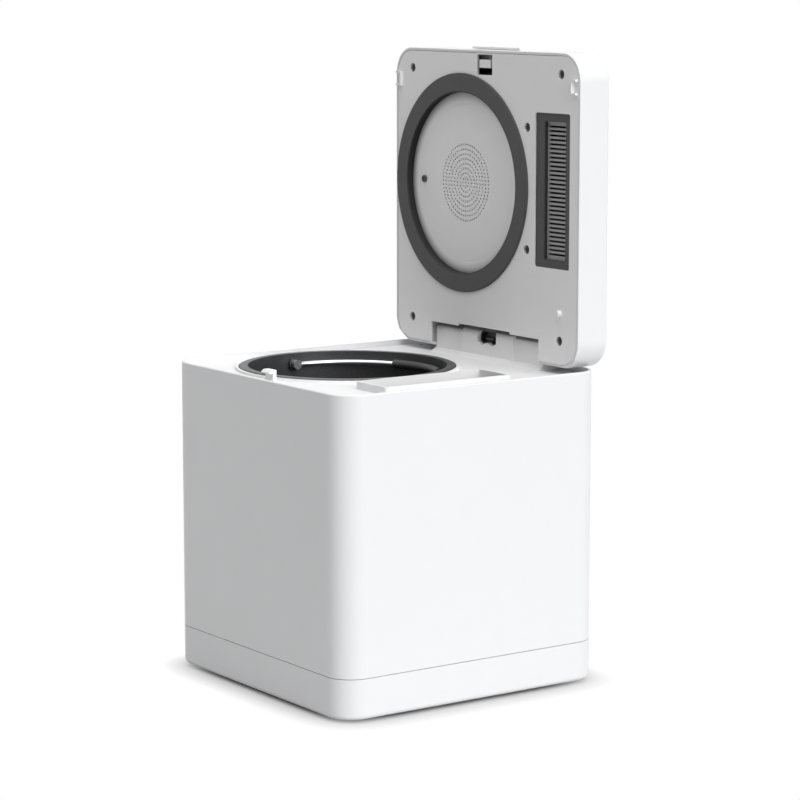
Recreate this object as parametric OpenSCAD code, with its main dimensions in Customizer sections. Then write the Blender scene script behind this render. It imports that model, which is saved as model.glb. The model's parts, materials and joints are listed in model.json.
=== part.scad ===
// Countertop composter for food waste: a cube-shaped housing, a lid hinged at the back,
// a lift-out bucket with a driven stirrer, and a charcoal filter in the exhaust path.
// Millimetres, +Z up. The front faces -Y. The origin is the middle of the body's plan on the table.
// The lid is drawn closed and then turned open about its hinge.

/* [Body] */
// Width of the body, left to right
body_w = 285; // [280:1:296]
// Depth of the body, front to back
body_d = 285; // [280:1:296]
// Height of the rim above the table
rim_z = 289.5; // [286:0.5:300]
// Radius of the four upright corners
corner_r = 25; // [20:0.5:28]
// Wall of the outer shell
shell_t = 2.8; // [2.4:0.1:3.2]
// Rounding along the top of the rim
rim_round = 1.2; // [0.8:0.1:1.4]
// Height of the seam between the shell and the base
seam_z = 40; // [34:1:46]
// Open width of that seam
seam_gap = 0.6; // [0.4:0.1:0.8]
// Rounding along the bottom edge of the base
base_round = 4; // [2:0.5:5]
// Thickness of the base floor
base_t = 3; // [2.6:0.1:3.4]
// Height of the rubber feet below the base
foot_h = 3; // [2.5:0.1:4]
// Radius of a rubber foot
foot_r = 9; // [8:0.5:10]
// Distance of the case screws and feet from the outside faces
post_in = 24.5; // [23:0.5:26]

/* [Deck] */
// Depth of the deck below the rim
deck_recess = 5.2; // [4.8:0.1:5.6]
// Thickness of the deck plate
deck_t = 3; // [2.6:0.1:3.4]
// Distance of the bucket's centre from the body's left side
bowl_side = 107; // [106.7:0.1:108.5]
// Distance of the bucket's centre from the body's front
bowl_front = 125.5; // [124.5:0.5:127.5]
// Gap between the bucket's rim and the opening in the deck
open_gap = 0.8; // [0.6:0.1:0.9]
// Width of the raised edge round the opening
open_lip_w = 2.2; // [1.8:0.1:2.4]
// Height of that raised edge
open_lip_h = 2.4; // [2:0.1:2.6]

/* [Lid] */
// Thickness of the closed lid
lid_t = 35; // [34:0.5:38]
// Gap between the closed lid and the rim
lid_gap = 0.3; // [0.2:0.1:0.5]
// Wall of the lid cover
lid_wall = 2.6; // [2.2:0.1:3]
// Thickness of the lid's inner panel
panel_t = 3; // [2.6:0.1:3.4]
// Rounding of the cover's outer edge
lid_round = 4.5; // [3.5:0.5:5]
// Rounding of the panel's edge
panel_round = 0.8; // [0.5:0.1:1]
// Rounding of the lid's lower back edge, which passes over the rear rim
back_round = 5; // [4.8:0.1:5.4]

/* [Hinge] */
// Distance of the hinge axis from the lid's back face
hinge_in = 14.15; // [14:0.05:14.3]
// Height of the hinge axis above the lid's inner face
hinge_up = 14.95; // [14.8:0.05:15.2]
// Half length of the hinge block
block_half = 84; // [80:0.5:86]
// Half length of its thicker middle
block_mid_half = 40; // [34:0.5:44]
// Radius of the middle of the barrel
barrel_mid_r = 10.5; // [10.2:0.1:10.6]
// Radius of the outer parts of the barrel
barrel_end_r = 8.4; // [8:0.1:8.8]
// Air between the barrel and the lid that turns round it
barrel_air = 0.7; // [0.6:0.05:0.8]
// Height of the lid's notch above its inner face
notch_h = 27.5; // [27.2:0.1:27.8]
// Radius of the hinge pins
pin_r = 2.5; // [2:0.1:3]
// Length of a hinge pin
pin_len = 22; // [18:1:26]

/* [Seal and vent] */
// Outer radius of the lid gasket
seal_out = 103.4; // [102.6:0.2:103.8]
// Inner radius of the lid gasket
seal_in = 85.5; // [84:0.5:87]
// Height of the gasket below the lid's inner face
seal_h = 2; // [1.8:0.1:2.4]
// Depth of the gasket's root behind the inner face
seal_root = 1.8; // [1.4:0.1:2.2]
// Thickness of the gasket's skirt, which lines the recess round the vent screen
seal_skirt = 3; // [2.4:0.1:3.6]
// Depth of the vent screen behind the inner face
dish_depth = 5; // [4.4:0.1:5.4]
// Radius of the flat vent screen
screen_r = 77; // [74:0.5:79]
// Thickness of the screen and of the dish round it
screen_t = 2; // [1.6:0.1:2.2]
// Number of rings of holes in the screen
vent_rings = 8; // [4:1:9]
// Distance from ring to ring
vent_pitch = 4.5; // [4:0.1:5]
// Radius of one hole
vent_r = 1.1; // [0.9:0.05:1.2]

/* [Outlet] */
// Distance of the outlet and of the filter below it from the body's right side
outlet_side = 39.7; // [38.5:0.2:40.5]
// Distance of the outlet's and the filter's centre from the body's front
outlet_front = 124.7; // [122.5:0.2:127.5]
// Width of the dark seal frame in the lid
frame_w = 51; // [50:0.5:52]
// Length of that frame
frame_d = 140.5; // [139:0.5:142]
// Depth of the frame's face behind the inner face
frame_sink = 1.6; // [1.4:0.1:1.8]
// Width of the frame's hidden flange behind the panel
frame_flange_w = 3.5; // [3:0.5:4.5]
// Thickness of that flange
frame_flange_t = 1.4; // [1.2:0.1:1.8]
// Width of the air opening in the frame
slot_field_w = 30.3; // [28:0.5:32]
// Length of that air opening
slot_field_d = 125.3; // [122:0.5:128]
// Sideways shift of the air opening within the frame
slot_shift = 2.6; // [1.6:0.2:3]
// Depth of the louvre behind the frame's face
louvre_sink = 3.6; // [3:0.1:4]
// Wall of the louvre's collar round the air opening
louvre_wall = 1.2; // [1:0.1:1.6]
// Width of the louvre's rim that bears on the frame
louvre_rim = 3; // [2.5:0.1:4]
// Thickness of the louvre plate
louvre_t = 2.4; // [2:0.1:3]
// Number of louvre slots
louvre_count = 30; // [20:1:30]
// Distance from slot to slot
louvre_pitch = 4; // [3.8:0.1:4.1]
// Width of one slot
louvre_gap = 1.9; // [1.5:0.1:2.2]
// Width of the raised collar on the deck
collar_w = 46.8; // [46:0.2:47.4]
// Length of that collar
collar_d = 137; // [135:0.5:138]
// Wall of the collar
collar_t = 2.6; // [2.2:0.1:2.8]

/* [Bucket] */
// Inner radius of the bucket
bucket_r = 92.5; // [90:0.5:92.5]
// Wall of the bucket
bucket_t = 2; // [1.6:0.1:2.2]
// Inner depth of the bucket
bucket_depth = 148; // [140:1:152]
// Rounding between the bucket's wall and floor
bucket_round = 14; // [10:1:18]
// Thickness of the bucket's floor
bucket_floor_t = 3; // [2.6:0.1:3.4]
// Height of the skirt that the bucket stands on
skirt_h = 10; // [9:0.5:11]
// Width of the rim round the top
bucket_rim_w = 7.9; // [7.4:0.1:8.4]
// Depth of that rim
bucket_rim_h = 4.5; // [4:0.1:5]
// Radius of the bail's rod
bail_r = 2.5; // [2:0.1:2.6]
// Radius of the bail's hoop
bail_hoop_r = 86.5; // [84:0.5:86.5]
// Depth of the bail's pivot below the bucket's rim
bail_drop = 10; // [9.5:0.5:14]
// Radius of the grip on the bail
grip_r = 4.2; // [3.6:0.1:4.6]

/* [Stirrer] */
// Radius that the stirrer arms sweep
arm_reach = 86; // [82:0.5:88]
// Thickness of an arm
arm_t = 6; // [4:0.5:8]
// Height of an arm
arm_h = 8; // [6:0.5:9]
// Number of arms on each level
arm_count = 3; // [2:1:4]
// Radius of the stirrer's hub
hub_r = 13; // [11:0.5:15]
// Radius of the stirrer shaft
stir_shaft_r = 5; // [4:0.5:6]
// Inward reach of the fixed blades on the bucket wall
fixed_reach = 30; // [20:1:36]

/* [Gear train] */
// Teeth on the output gear
output_teeth = 48; // [40:1:48]
// Teeth on the small idler gear
idler_small_teeth = 16; // [14:1:18]
// Teeth on the large idler gear
idler_large_teeth = 50; // [44:1:52]
// Teeth on the motor pinion
pinion_teeth = 12; // [12:1:16]
// Module of the slow pair of gears
slow_module = 1.5; // [1.3:0.1:1.5]
// Module of the fast pair of gears
fast_module = 1; // [0.9:0.05:1.1]
// Direction from the output gear to the idler, in degrees
idler_dir = -20; // [-40:5:0]
// Direction from the idler to the motor, in degrees
motor_dir = -60; // [-80:5:-40]
// Play between meshing teeth
backlash = 0.2; // [0.15:0.05:0.3]
// Underside of the gearbox above the table
gearbox_z = 70; // [68:1:74]
// Inner height of the gearbox
gearbox_h = 31; // [30:1:34]
// Wall of the gearbox
gearbox_t = 3; // [2.6:0.2:3.4]
// Radius of the output shaft
drive_shaft_r = 6; // [5:0.5:7]
// Radius of the drive motor
motor_r = 29; // [26:1:30]
// Length of the drive motor
motor_len = 54; // [44:1:56]

/* [Filter and blower] */
// Height of the filter cartridge
filter_h = 118; // [100:2:124]
// Depth of the cartridge's top below the deck
filter_drop = 8; // [7:0.5:12]
// Wall of the filter duct
duct_t = 2; // [1.8:0.1:2.4]
// Distance of the blower's shaft from the body's back
blower_back = 47.5; // [45.5:0.5:49.5]
// Height of the duct under the filter
plenum_h = 25; // [22:1:28]
// Height of the blower case
blower_h = 32; // [28:1:34]
// Radius of the blower wheel
wheel_r = 26; // [24:0.5:26]
// Number of blades on the blower wheel
wheel_blades = 24; // [16:2:30]

/* [Fits] */
// Gap between parts that nest or lie side by side
fit = 0.3; // [0.2:0.05:0.35]
// Gap between fixed parts that are pressed together
press = 0.1; // [0.05:0.01:0.15]
// Gap on each side of the filter as it slides in its shaft
slide_gap = 0.5; // [0.3:0.1:0.8]
// Radial clearance of a running shaft in its bush
running = 0.05; // [0.02:0.01:0.08]
// Radial clearance of a screw or pin that is fixed in its hole
snug = 0.03; // [0.02:0.01:0.05]

/* [Controls] */
// Half length of the release bar's lip along the lid's front
bar_half = 36.5; // [34:0.5:40]
// Height of the release bar above the lid's inner face
bar_up = 15; // [12:0.5:16]
// Travel of the release bar
bar_travel = 4.5; // [4.2:0.1:5]
// Radius of the start button
button_r = 8.5; // [7.5:0.5:9]
// Travel of the start button
button_travel = 1; // [0.6:0.1:1.2]
// Width of the control panel on the lid
controls_w = 92; // [84:1:100]
// Depth of the control panel
controls_d = 26; // [24:1:30]

/* [Hidden] */

// Half sizes and levels of the body
hw = body_w / 2;
hd = body_d / 2;
bowl_x = -hw + bowl_side;
bowl_y = -hd + bowl_front;
outlet_x = hw - outlet_side;
outlet_y = -hd + outlet_front;
blower_y = hd - blower_back;
floor_z = foot_h + base_t;
deck_z = rim_z - deck_recess;
deck_under = deck_z - deck_t;
ledge_w = 2.6;
ledge_t = 3;
base_lip_t = 2;
base_lip_h = 6;
foot_sink = 1;
post_x = hw - post_in;
post_y = hd - post_in;
post_r = 5;
post_top = seam_z + 3.7;
boss_top = seam_z + 30;
screw_r = 1.9;
screw_head_r = 3.2;
screw_head_h = 2.4;
screw_seat = foot_h + 9;
case_screw_len = 50;

// The closed lid: its inner face, and the hinge axis
lid_z = rim_z + lid_gap;
hinge_y = hd - hinge_in;
hinge_z = lid_z + hinge_up;
lid_top = lid_z + lid_t;
notch_half = block_half + barrel_air;
block_foot_y = hinge_y + deck_z - hinge_z + 4.6;
notch_mid_y = hinge_y - barrel_mid_r - barrel_air;
notch_end_y = hinge_y - barrel_end_r - barrel_air;
liner_t = 2;

// The cable sleeve in the hinge block, about the hinge axis
sleeve_x = -0.5;
sleeve_half = 14.5;
sleeve_low = -4.25;
sleeve_high = 7.8;
sleeve_depth = 6.5;
sleeve_round = 7;

// The bucket hangs in the deck's opening, just under the gasket
bucket_top = lid_z - seal_h - fit;
bucket_out = bucket_r + bucket_t;
bucket_rim_r = bucket_r + bucket_rim_w;
bucket_rim_z = bucket_top - bucket_rim_h;
bucket_floor = bucket_top - bucket_depth;
bucket_foot = bucket_floor - bucket_floor_t - skirt_h;
open_r = bucket_rim_r + open_gap;
bail_z = bucket_top - bail_drop;
ear_r = 6;
ear_in = bail_hoop_r + bail_r + fit;

// The heated well round the bucket
well_r = bucket_out + 1;
well_t = 2;
well_floor_t = 3;
well_floor = bucket_foot - fit;
well_top = bucket_rim_z - fit;
well_hole_r = 22;
ear_drop = 6;
well_ear_z = deck_under - ear_drop;
well_ear_r = open_r + 9;
well_ear_angles = [45, 135, 225, 315];
heater_t = 1.8;
heater_h = 70;
heater_z = well_floor + 25;

// The coupling between the drive shaft and the bucket's shaft
dog_w = 5;
dog_r = 12;
dog_core_r = 8;
dog_top = bucket_foot + 7;
coupler_r = 17;
coupler_foot = bucket_foot + 1.4;
coupler_top = bucket_floor - bucket_floor_t - fit;
bush_r = 9;

// Levels and places of the stirrer
stir_z = bucket_floor + 1.5;
fixed_z = stir_z + arm_h + 3;
fixed_h = 8;
upper_arm_z = fixed_z + fixed_h + 3;
hub_top = upper_arm_z + arm_h + 6;
arm_bend = 75;
hub_dome = 6;
floor_edge = bucket_round - (stir_z + 0.5 - bucket_floor);
low_reach = min(arm_reach, bucket_r - bucket_round + sqrt(pow(bucket_round, 2) - pow(floor_edge, 2)) - 1);

// The gear train
gear_x = bowl_x;
gear_y = bowl_y;
slow_dist = (output_teeth + idler_small_teeth) / 2 * slow_module + backlash / 2;
fast_dist = (idler_large_teeth + pinion_teeth) / 2 * fast_module + backlash / 2;
idler_x = gear_x + slow_dist * cos(idler_dir);
idler_y = gear_y + slow_dist * sin(idler_dir);
motor_x = idler_x + fast_dist * cos(motor_dir);
motor_y = idler_y + fast_dist * sin(motor_dir);
gear_floor = gearbox_z + gearbox_t;
cover_z = gear_floor + gearbox_h;
fast_z = gear_floor + 1.5;
fast_h = 7;
slow_z = fast_z + fast_h + 3;
slow_h = 12;
gear_air = 3;
output_case_r = (output_teeth / 2 + 1) * slow_module + gear_air;
idler_case_r = (idler_large_teeth / 2 + 1) * fast_module + gear_air;
pinion_case_r = (pinion_teeth / 2 + 1) * fast_module + gear_air + 2;
idler_shaft_r = 3;
pinion_shaft_r = 2.5;
gear_bush_t = 2.5;
gearbox_ear_r = 6;
gearbox_ears = [
    [gear_x, gear_y + output_case_r + 7], [gear_x - output_case_r - 7, gear_y],
    [gear_x, gear_y - output_case_r - 7], [idler_x + 18, idler_y + idler_case_r + 1]
];

// The filter shaft, the duct below it and the blower behind it
port_w = collar_w - 2 * collar_t;
port_d = collar_d - 2 * collar_t;
collar_top = lid_z + frame_sink - fit;
duct_top = deck_under - fit;
filter_w = port_w - 2 * slide_gap;
filter_d = port_d - 2 * slide_gap;
tab_h = 9;
tab_half = 15;
tab_grip = 5.6;
filter_top = deck_z - filter_drop;
filter_foot = filter_top - filter_h;
filter_wall = 1.6;
duct_ledge = 3;
plenum_top = filter_foot - fit - duct_ledge;
plenum_z = plenum_top - plenum_h;
plenum_back = hd - shell_t - 6;
blower_x = outlet_x;
blower_top = plenum_z - fit;
blower_z = blower_top - blower_h;
scroll_start = wheel_r + 2.5;
scroll_growth = 8.5;
scroll_t = 1.8;
outlet_in = 12;
outlet_gap_x = scroll_start + scroll_growth;
inlet_r = 19;
wheel_hub_r = 6;
wheel_h = blower_h - 2 * scroll_t - 5;
wheel_z = blower_z + scroll_t + 2;
fan_shaft_r = 1.5;
fan_motor_r = 14;
fan_motor_h = 14;
exhaust_x = blower_x - (outlet_gap_x + outlet_in) / 2;
exhaust_w = outlet_gap_x - outlet_in + 6;
exhaust_h = blower_h + 4;
exhaust_z = blower_z + blower_h / 2;
exhaust_slats = 6;

// Electric parts
board_w = 88;
board_d = 62;
board_t = 1.6;
board_x = -hw + 82.5;
board_y = hd - 44.5;
board_z = floor_z + 8;
inlet_x = -hw + 44.5;
inlet_z = seam_z + 24;
socket_w = 27;
socket_h = 20;
socket_depth = 18;
peg_x = hw - 27;
peg_y = hd - 50;
peg_r = 3;
peg_out = 4;

// Lid pieces behind the inner face
seal_mouth = 97;
dish_flange_r = 99.5;
dish_flange_t = 2;
duct_h = 17;
duct_wall = 1.8;
lid_screw_r = 1.45;
lid_head_r = 3.4;
lid_head_h = 1.6;
lid_screw_len = 12;
counter_r = 4.4;
counter_h = 4;
cup_t = 1.5;
cup_r = counter_r + cup_t;
cup_top = lid_z + counter_h + cup_t;
corner_screw_x = hw - 27.5;
front_screw_y = -hd + 19.2;
back_screw_y = hd - 24.8;
side_screw_x = outlet_x - frame_w / 2 - frame_flange_w - duct_wall - 2 * fit - cup_r;
side_screws_y = [outlet_y - 56, outlet_y + 56];
dish_screw_in = 11;
dish_screw_x = bowl_x - screen_r + dish_screw_in;
lid_screw_places = [
    for (x = [-corner_screw_x, corner_screw_x], y = [front_screw_y, back_screw_y]) [x, y],
    for (y = side_screws_y) [side_screw_x, y]
];

// The latch: a striker on the deck, and a sprung bar in the lid
latch_front = -hd + 4.2;
latch_back = latch_front + 18.9;
latch_half = 12;
striker_half = 6.5;
striker_back = -hd + 20.5;
striker_stem = 3.5;
striker_nose = striker_back - 8;
striker_top = lid_z + 5.7;
nose_t = 3;
tongue_back = striker_back - 4;
tongue_front = tongue_back - 7.5;
tongue_z = lid_z + 0.6;
tongue_top = striker_top - nose_t - fit;
web_z = lid_z + bar_up;
web_t = 2.2;
bar_web_half = bar_half - 4.5;
bar_lip = 2.8;
bar_lip_h = 6;
hook_x = hw - 10.9;
hook_w = 7.6;
hook_front = -hd + 23;
hook_len = 14;
hook_t = 1.8;
hook_out = 3.2;
spring_x = bar_web_half - 8;
spring_r = 2.6;
spring_wire = 0.8;
spring_z = web_z + web_t + spring_r + 0.2;
wing_back = tongue_back + 1;
wing_t = 2;

// Controls in the lid's outer face
controls_y = -hd + 38.5;
controls_t = 3.2;
controls_sink = 0.4;
lens_r = 1.8;
lens_pitch = 9;
button_proud = 0.8;
button_flange = 1.6;
display_t = 1.6;

// A plan with round corners
module round_rect(w, d, r) {
    square([w - 2 * r, d], center = true);
    square([w, d - 2 * r], center = true);
    for (x = [-1, 1], y = [-1, 1])
        translate([x * (w / 2 - r), y * (d / 2 - r)]) circle(r = r, $fn = 96);
}

// Half of a slab's section, from a corner's centre outward, with a rounded upper edge
module edge_section(r, h, f) {
    square([r, h - f]);
    square([r - f, h]);
    translate([r - f, h - f]) intersection() {
        circle(r = f, $fn = 64);
        square(f);
    }
}

// A slab with round corners and a rounded upper edge, its section carried round the plan
module soft_slab(w, d, h, r, f) {
    translate([-w / 2 + r, -d / 2 + r, 0]) cube([w - 2 * r, d - 2 * r, h]);
    for (turn = [0, 180]) rotate(turn) {
        translate([w / 2 - r, d / 2 - r, 0]) rotate([90, 0, 0])
            linear_extrude(d - 2 * r) edge_section(r, h, f);
        translate([-w / 2 + r, d / 2 - r, 0]) rotate([90, 0, 90])
            linear_extrude(w - 2 * r) edge_section(r, h, f);
        translate([w / 2 - r, d / 2 - r, 0])
            rotate_extrude(angle = 90, $fn = 96) edge_section(r, h, f);
        translate([-w / 2 + r, d / 2 - r, 0]) rotate(90)
            rotate_extrude(angle = 90, $fn = 96) edge_section(r, h, f);
    }
}

// A flat ring on the plan's outline, between two insets
module plan_ring(inset, width) {
    difference() {
        round_rect(body_w - 2 * inset, body_d - 2 * inset, corner_r - inset);
        round_rect(body_w - 2 * (inset + width), body_d - 2 * (inset + width),
            corner_r - inset - width);
    }
}

// A box from its low corner to its high corner
module box_between(low, high) {
    translate(low) cube(high - low);
}

// A screw that points up, its head below the origin
module screw(shank_r, head_r, head_h, len) {
    slot = head_r * 1.1;
    cylinder(r = shank_r, h = len, $fn = 32);
    difference() {
        translate([0, 0, -head_h]) cylinder(r = head_r, h = head_h, $fn = 48);
        for (turn = [0, 90]) rotate(turn)
            translate([0, 0, -head_h]) cube([slot, 0.7, head_h], center = true);
    }
}

module at_bowl() {
    translate([bowl_x, bowl_y, 0]) children();
}

module at_posts() {
    for (x = [-post_x, post_x], y = [-post_y, post_y]) translate([x, y, 0]) children();
}

// Turns a piece of the closed lid about the hinge to the open lid
module lid_open() {
    translate([0, hinge_y, hinge_z]) rotate([-90, 0, 0])
        translate([0, -hinge_y, -hinge_z]) children();
}

// What the lid's lower back edge loses to its rounding
module back_edge_cut() {
    difference() {
        box_between([-hw - 1, hd - back_round, lid_z - 1], [hw + 1, hd + 1, lid_z + back_round]);
        translate([0, hd - back_round, lid_z + back_round]) rotate([0, 90, 0])
            cylinder(r = back_round, h = body_w + 4, center = true, $fn = 96);
    }
}

// Distance from the hinge axis to the inner edge of the body's rim, across a back corner
function rim_edge_r(x) = let (
    inner_r = corner_r - shell_t,
    out = min(inner_r, x - hw + corner_r),
    y = hd - corner_r + sqrt(inner_r * inner_r - out * out))
    sqrt(pow(max(0, y - hinge_y), 2) + pow(hinge_z - rim_z, 2));

// What the lid's back corners lose so that they turn clear of the rim's corners
module back_corner_cut() {
    start = hw - corner_r;
    steps = 6;
    xs = [for (k = [0:steps]) start + (corner_r - shell_t) * k / steps];
    for (side = [-1, 1]) scale([side, 1, 1]) difference() {
        box_between([start, hinge_y, lid_z - 1], [hw + 1, hd + 1, hinge_z]);
        translate([0, hinge_y, hinge_z]) rotate([0, 90, 0]) rotate_extrude($fn = 96)
            polygon(concat([[0, start - 1], [rim_edge_r(start) - lid_gap, start - 1]],
                [for (x = xs) [rim_edge_r(x) - lid_gap, x]],
                [[hinge_z - rim_z - lid_gap, hw + 2], [0, hw + 2]]));
    }
}

// The room that the hinge block needs in the lid
module notch_room(extra) {
    top = lid_z + notch_h + extra;
    box_between([-notch_half - extra, notch_end_y - extra, lid_z - 1],
        [notch_half + extra, hd + 1, top]);
    box_between([-block_mid_half - barrel_air - extra, notch_mid_y - extra, lid_z - 1],
        [block_mid_half + barrel_air + extra, hd + 1, top]);
}

// Angle, in degrees, that an involute has turned through at a pressure angle
function involute_turn(a) = tan(a) * 180 / PI - a;
function flank_angle(r, base_r, half) =
    half + involute_turn(20) - involute_turn(acos(min(1, base_r / r)));

// The outline of an involute gear with a tooth on the +X axis
module gear_outline(teeth, mod) {
    pitch_r = teeth * mod / 2;
    base_r = pitch_r * cos(20);
    tip_r = pitch_r + mod;
    root_r = pitch_r - 1.25 * mod;
    half = 90 / teeth - backlash / 4 / pitch_r * 180 / PI;
    start_r = max(base_r, root_r);
    steps = 4;
    radii = [for (k = [0:steps]) start_r + (tip_r - start_r) * k / steps];
    low_a = flank_angle(start_r, base_r, half);
    up = [for (r = radii) [r, -flank_angle(r, base_r, half)]];
    down = [for (k = [steps:-1:0]) [radii[k], flank_angle(radii[k], base_r, half)]];
    tooth = concat([[root_r - 0.01, -low_a]], up, down, [[root_r - 0.01, low_a]]);
    polygon([for (i = [0:teeth - 1], p = tooth)
        p[0] * [cos(i * 360 / teeth + p[1]), sin(i * 360 / teeth + p[1])]]);
}

module outer_shell() color("white") difference() {
    union() {
        difference() {
            translate([0, 0, seam_z])
                soft_slab(body_w, body_d, rim_z - seam_z, corner_r, rim_round);
            translate([0, 0, seam_z - 1]) linear_extrude(rim_z)
                round_rect(body_w - 2 * shell_t, body_d - 2 * shell_t, corner_r - shell_t);
        }
        translate([0, 0, deck_under - ledge_t]) linear_extrude(ledge_t)
            plan_ring(shell_t / 2, shell_t / 2 + ledge_w);
        for (x = [-1, 1], y = [-1, 1]) translate([x * post_x, y * post_y, 0]) {
            translate([0, 0, post_top + fit])
                cylinder(r = post_r, h = boss_top - post_top - fit, $fn = 48);
            rotate(atan2(y, x)) box_between([0, -1.2, seam_z + base_lip_h + 1],
                [corner_r - shell_t / 2, 1.2, boss_top]);
        }
    }
    at_posts() translate([0, 0, seam_z]) cylinder(r = screw_r + snug, h = 24, $fn = 32);
    translate([exhaust_x, hd, exhaust_z])
        cube([exhaust_w, 4 * shell_t, exhaust_h], center = true);
    translate([inlet_x, hd, inlet_z])
        cube([socket_w + 2 * fit, 4 * shell_t, socket_h + 2 * fit], center = true);
}

module base_housing() color("whitesmoke") difference() {
    wall_top = seam_z - seam_gap;
    union() {
        difference() {
            translate([0, 0, wall_top]) mirror([0, 0, 1])
                soft_slab(body_w, body_d, wall_top - foot_h, corner_r, base_round);
            translate([0, 0, floor_z]) linear_extrude(seam_z)
                round_rect(body_w - 2 * shell_t, body_d - 2 * shell_t, corner_r - shell_t);
        }
        translate([0, 0, wall_top - base_lip_h]) linear_extrude(base_lip_h)
            plan_ring(shell_t / 2, shell_t / 2 + fit + base_lip_t);
        translate([0, 0, wall_top - 1]) linear_extrude(base_lip_h + seam_gap + 1)
            plan_ring(shell_t + fit, base_lip_t);
        at_posts() translate([0, 0, foot_h]) cylinder(r = post_r + 1, h = post_top - foot_h, $fn = 48);
        for (p = gearbox_ears) translate([p[0], p[1], floor_z - 1])
            cylinder(r = post_r, h = gearbox_z - floor_z + 1, $fn = 48);
        for (x = [-1, 1], y = [-1, 1])
            translate([board_x + x * (board_w / 2 - 5), board_y + y * (board_d / 2 - 5), floor_z - 1])
                cylinder(r = 3, h = board_z - floor_z + 1, $fn = 32);
    }
    at_posts() {
        translate([0, 0, foot_h - 1]) cylinder(r = foot_r + fit, h = 1 + foot_sink, $fn = 64);
        translate([0, 0, foot_h]) cylinder(r = screw_head_r + fit, h = screw_seat - foot_h, $fn = 48);
        cylinder(r = screw_r + snug, h = seam_z + 20, $fn = 32);
    }
    for (p = gearbox_ears) translate([p[0], p[1], gearbox_z - 14])
        cylinder(r = 1.5 + snug, h = 20, $fn = 32);
}

module rubber_feet() color("dimgray") at_posts()
    cylinder(r = foot_r, h = foot_h + foot_sink, $fn = 64);

module deck() color("whitesmoke") difference() {
    inset = shell_t + fit;
    union() {
        translate([0, 0, deck_under]) linear_extrude(deck_t)
            round_rect(body_w - 2 * inset, body_d - 2 * inset, corner_r - inset);
        // The raised edge makes way for the foot of the hinge block
        difference() {
            at_bowl() translate([0, 0, deck_z - 1])
                cylinder(r = open_r + open_lip_w, h = open_lip_h + 1, $fn = 128);
            box_between([-block_half - fit, block_foot_y - fit, deck_z], [block_half + fit, hd, rim_z]);
        }
        translate([outlet_x, outlet_y, deck_z - 1]) linear_extrude(collar_top - deck_z + 1)
            round_rect(collar_w, collar_d, 3);
        at_bowl() for (a = well_ear_angles) rotate(a)
            translate([well_ear_r, 0, well_ear_z]) cylinder(r = post_r, h = ear_drop + 1, $fn = 48);
    }
    at_bowl() translate([0, 0, deck_under - 1]) cylinder(r = open_r, h = 20, $fn = 128);
    translate([outlet_x, outlet_y, deck_under - 1]) linear_extrude(collar_top - deck_under + 2)
        round_rect(port_w, port_d, 1.5);
    at_bowl() for (a = well_ear_angles) rotate(a)
        translate([well_ear_r, 0, well_ear_z - 1]) cylinder(r = 1.45 + snug, h = ear_drop + 2, $fn = 32);
}

// The hinge block's section, seen along the axis, with the axis at the origin
module block_section(r) {
    foot = deck_z - hinge_z;
    circle(r = r, $fn = 96);
    polygon([[-r, 0], [-r, foot + 4.4], [block_foot_y - hinge_y, foot], [hinge_in - 3, foot],
        [hinge_in - 3, 0]]);
}

module hinge_block() color("gainsboro") difference() {
    translate([0, hinge_y, hinge_z]) union() {
        translate([-block_mid_half, 0, 0]) rotate([90, 0, 90])
            linear_extrude(2 * block_mid_half) block_section(barrel_mid_r);
        translate([-block_half, 0, 0]) rotate([90, 0, 90])
            linear_extrude(2 * block_half) block_section(barrel_end_r);
    }
    for (side = [-1, 1]) translate([side * (block_half - pin_len / 2), hinge_y, hinge_z])
        rotate([0, 90, 0]) cylinder(r = pin_r + running, h = pin_len + 2, center = true, $fn = 48);
    translate([sleeve_x, hinge_y, hinge_z]) rotate([90, 0, 0])
        linear_extrude(barrel_mid_r + 1) sleeve_outline(0);
}

// The outline of the cable opening in the hinge block, with round upper corners
module sleeve_outline(inset) {
    r = sleeve_round - inset;
    low = sleeve_low + inset;
    high = sleeve_high - inset;
    half = sleeve_half - inset;
    translate([-half, low]) square([2 * half, high - low - r]);
    translate([-half + r, low]) square([2 * (half - r), high - low]);
    for (side = [-1, 1]) translate([side * (half - r), high - r]) circle(r = r, $fn = 48);
}

module cable_sleeve() color("black") {
    back = 0.2;
    translate([sleeve_x, hinge_y - back, hinge_z]) rotate([90, 0, 0]) {
        linear_extrude(1.5) sleeve_outline(press);
        linear_extrude(sleeve_depth) difference() {
            sleeve_outline(press);
            sleeve_outline(1.6);
        }
        linear_extrude(sleeve_depth) translate([-6, sleeve_low + 3]) square([12, 2]);
    }
}

module latch_striker() color("white") {
    box_between([-striker_half - 2, tongue_back - 1, deck_z], [striker_half + 2, striker_back + 1, deck_z + 1.5]);
    box_between([-striker_half, striker_back - striker_stem, deck_z],
        [striker_half, striker_back, striker_top]);
    translate([-striker_half, 0, 0]) rotate([90, 0, 90]) linear_extrude(2 * striker_half)
        polygon([[striker_back - 1, striker_top - nose_t], [striker_nose, striker_top - nose_t],
            [striker_nose, striker_top - nose_t + 1], [striker_nose + 2.5, striker_top],
            [striker_back - 1, striker_top]]);
}

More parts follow.
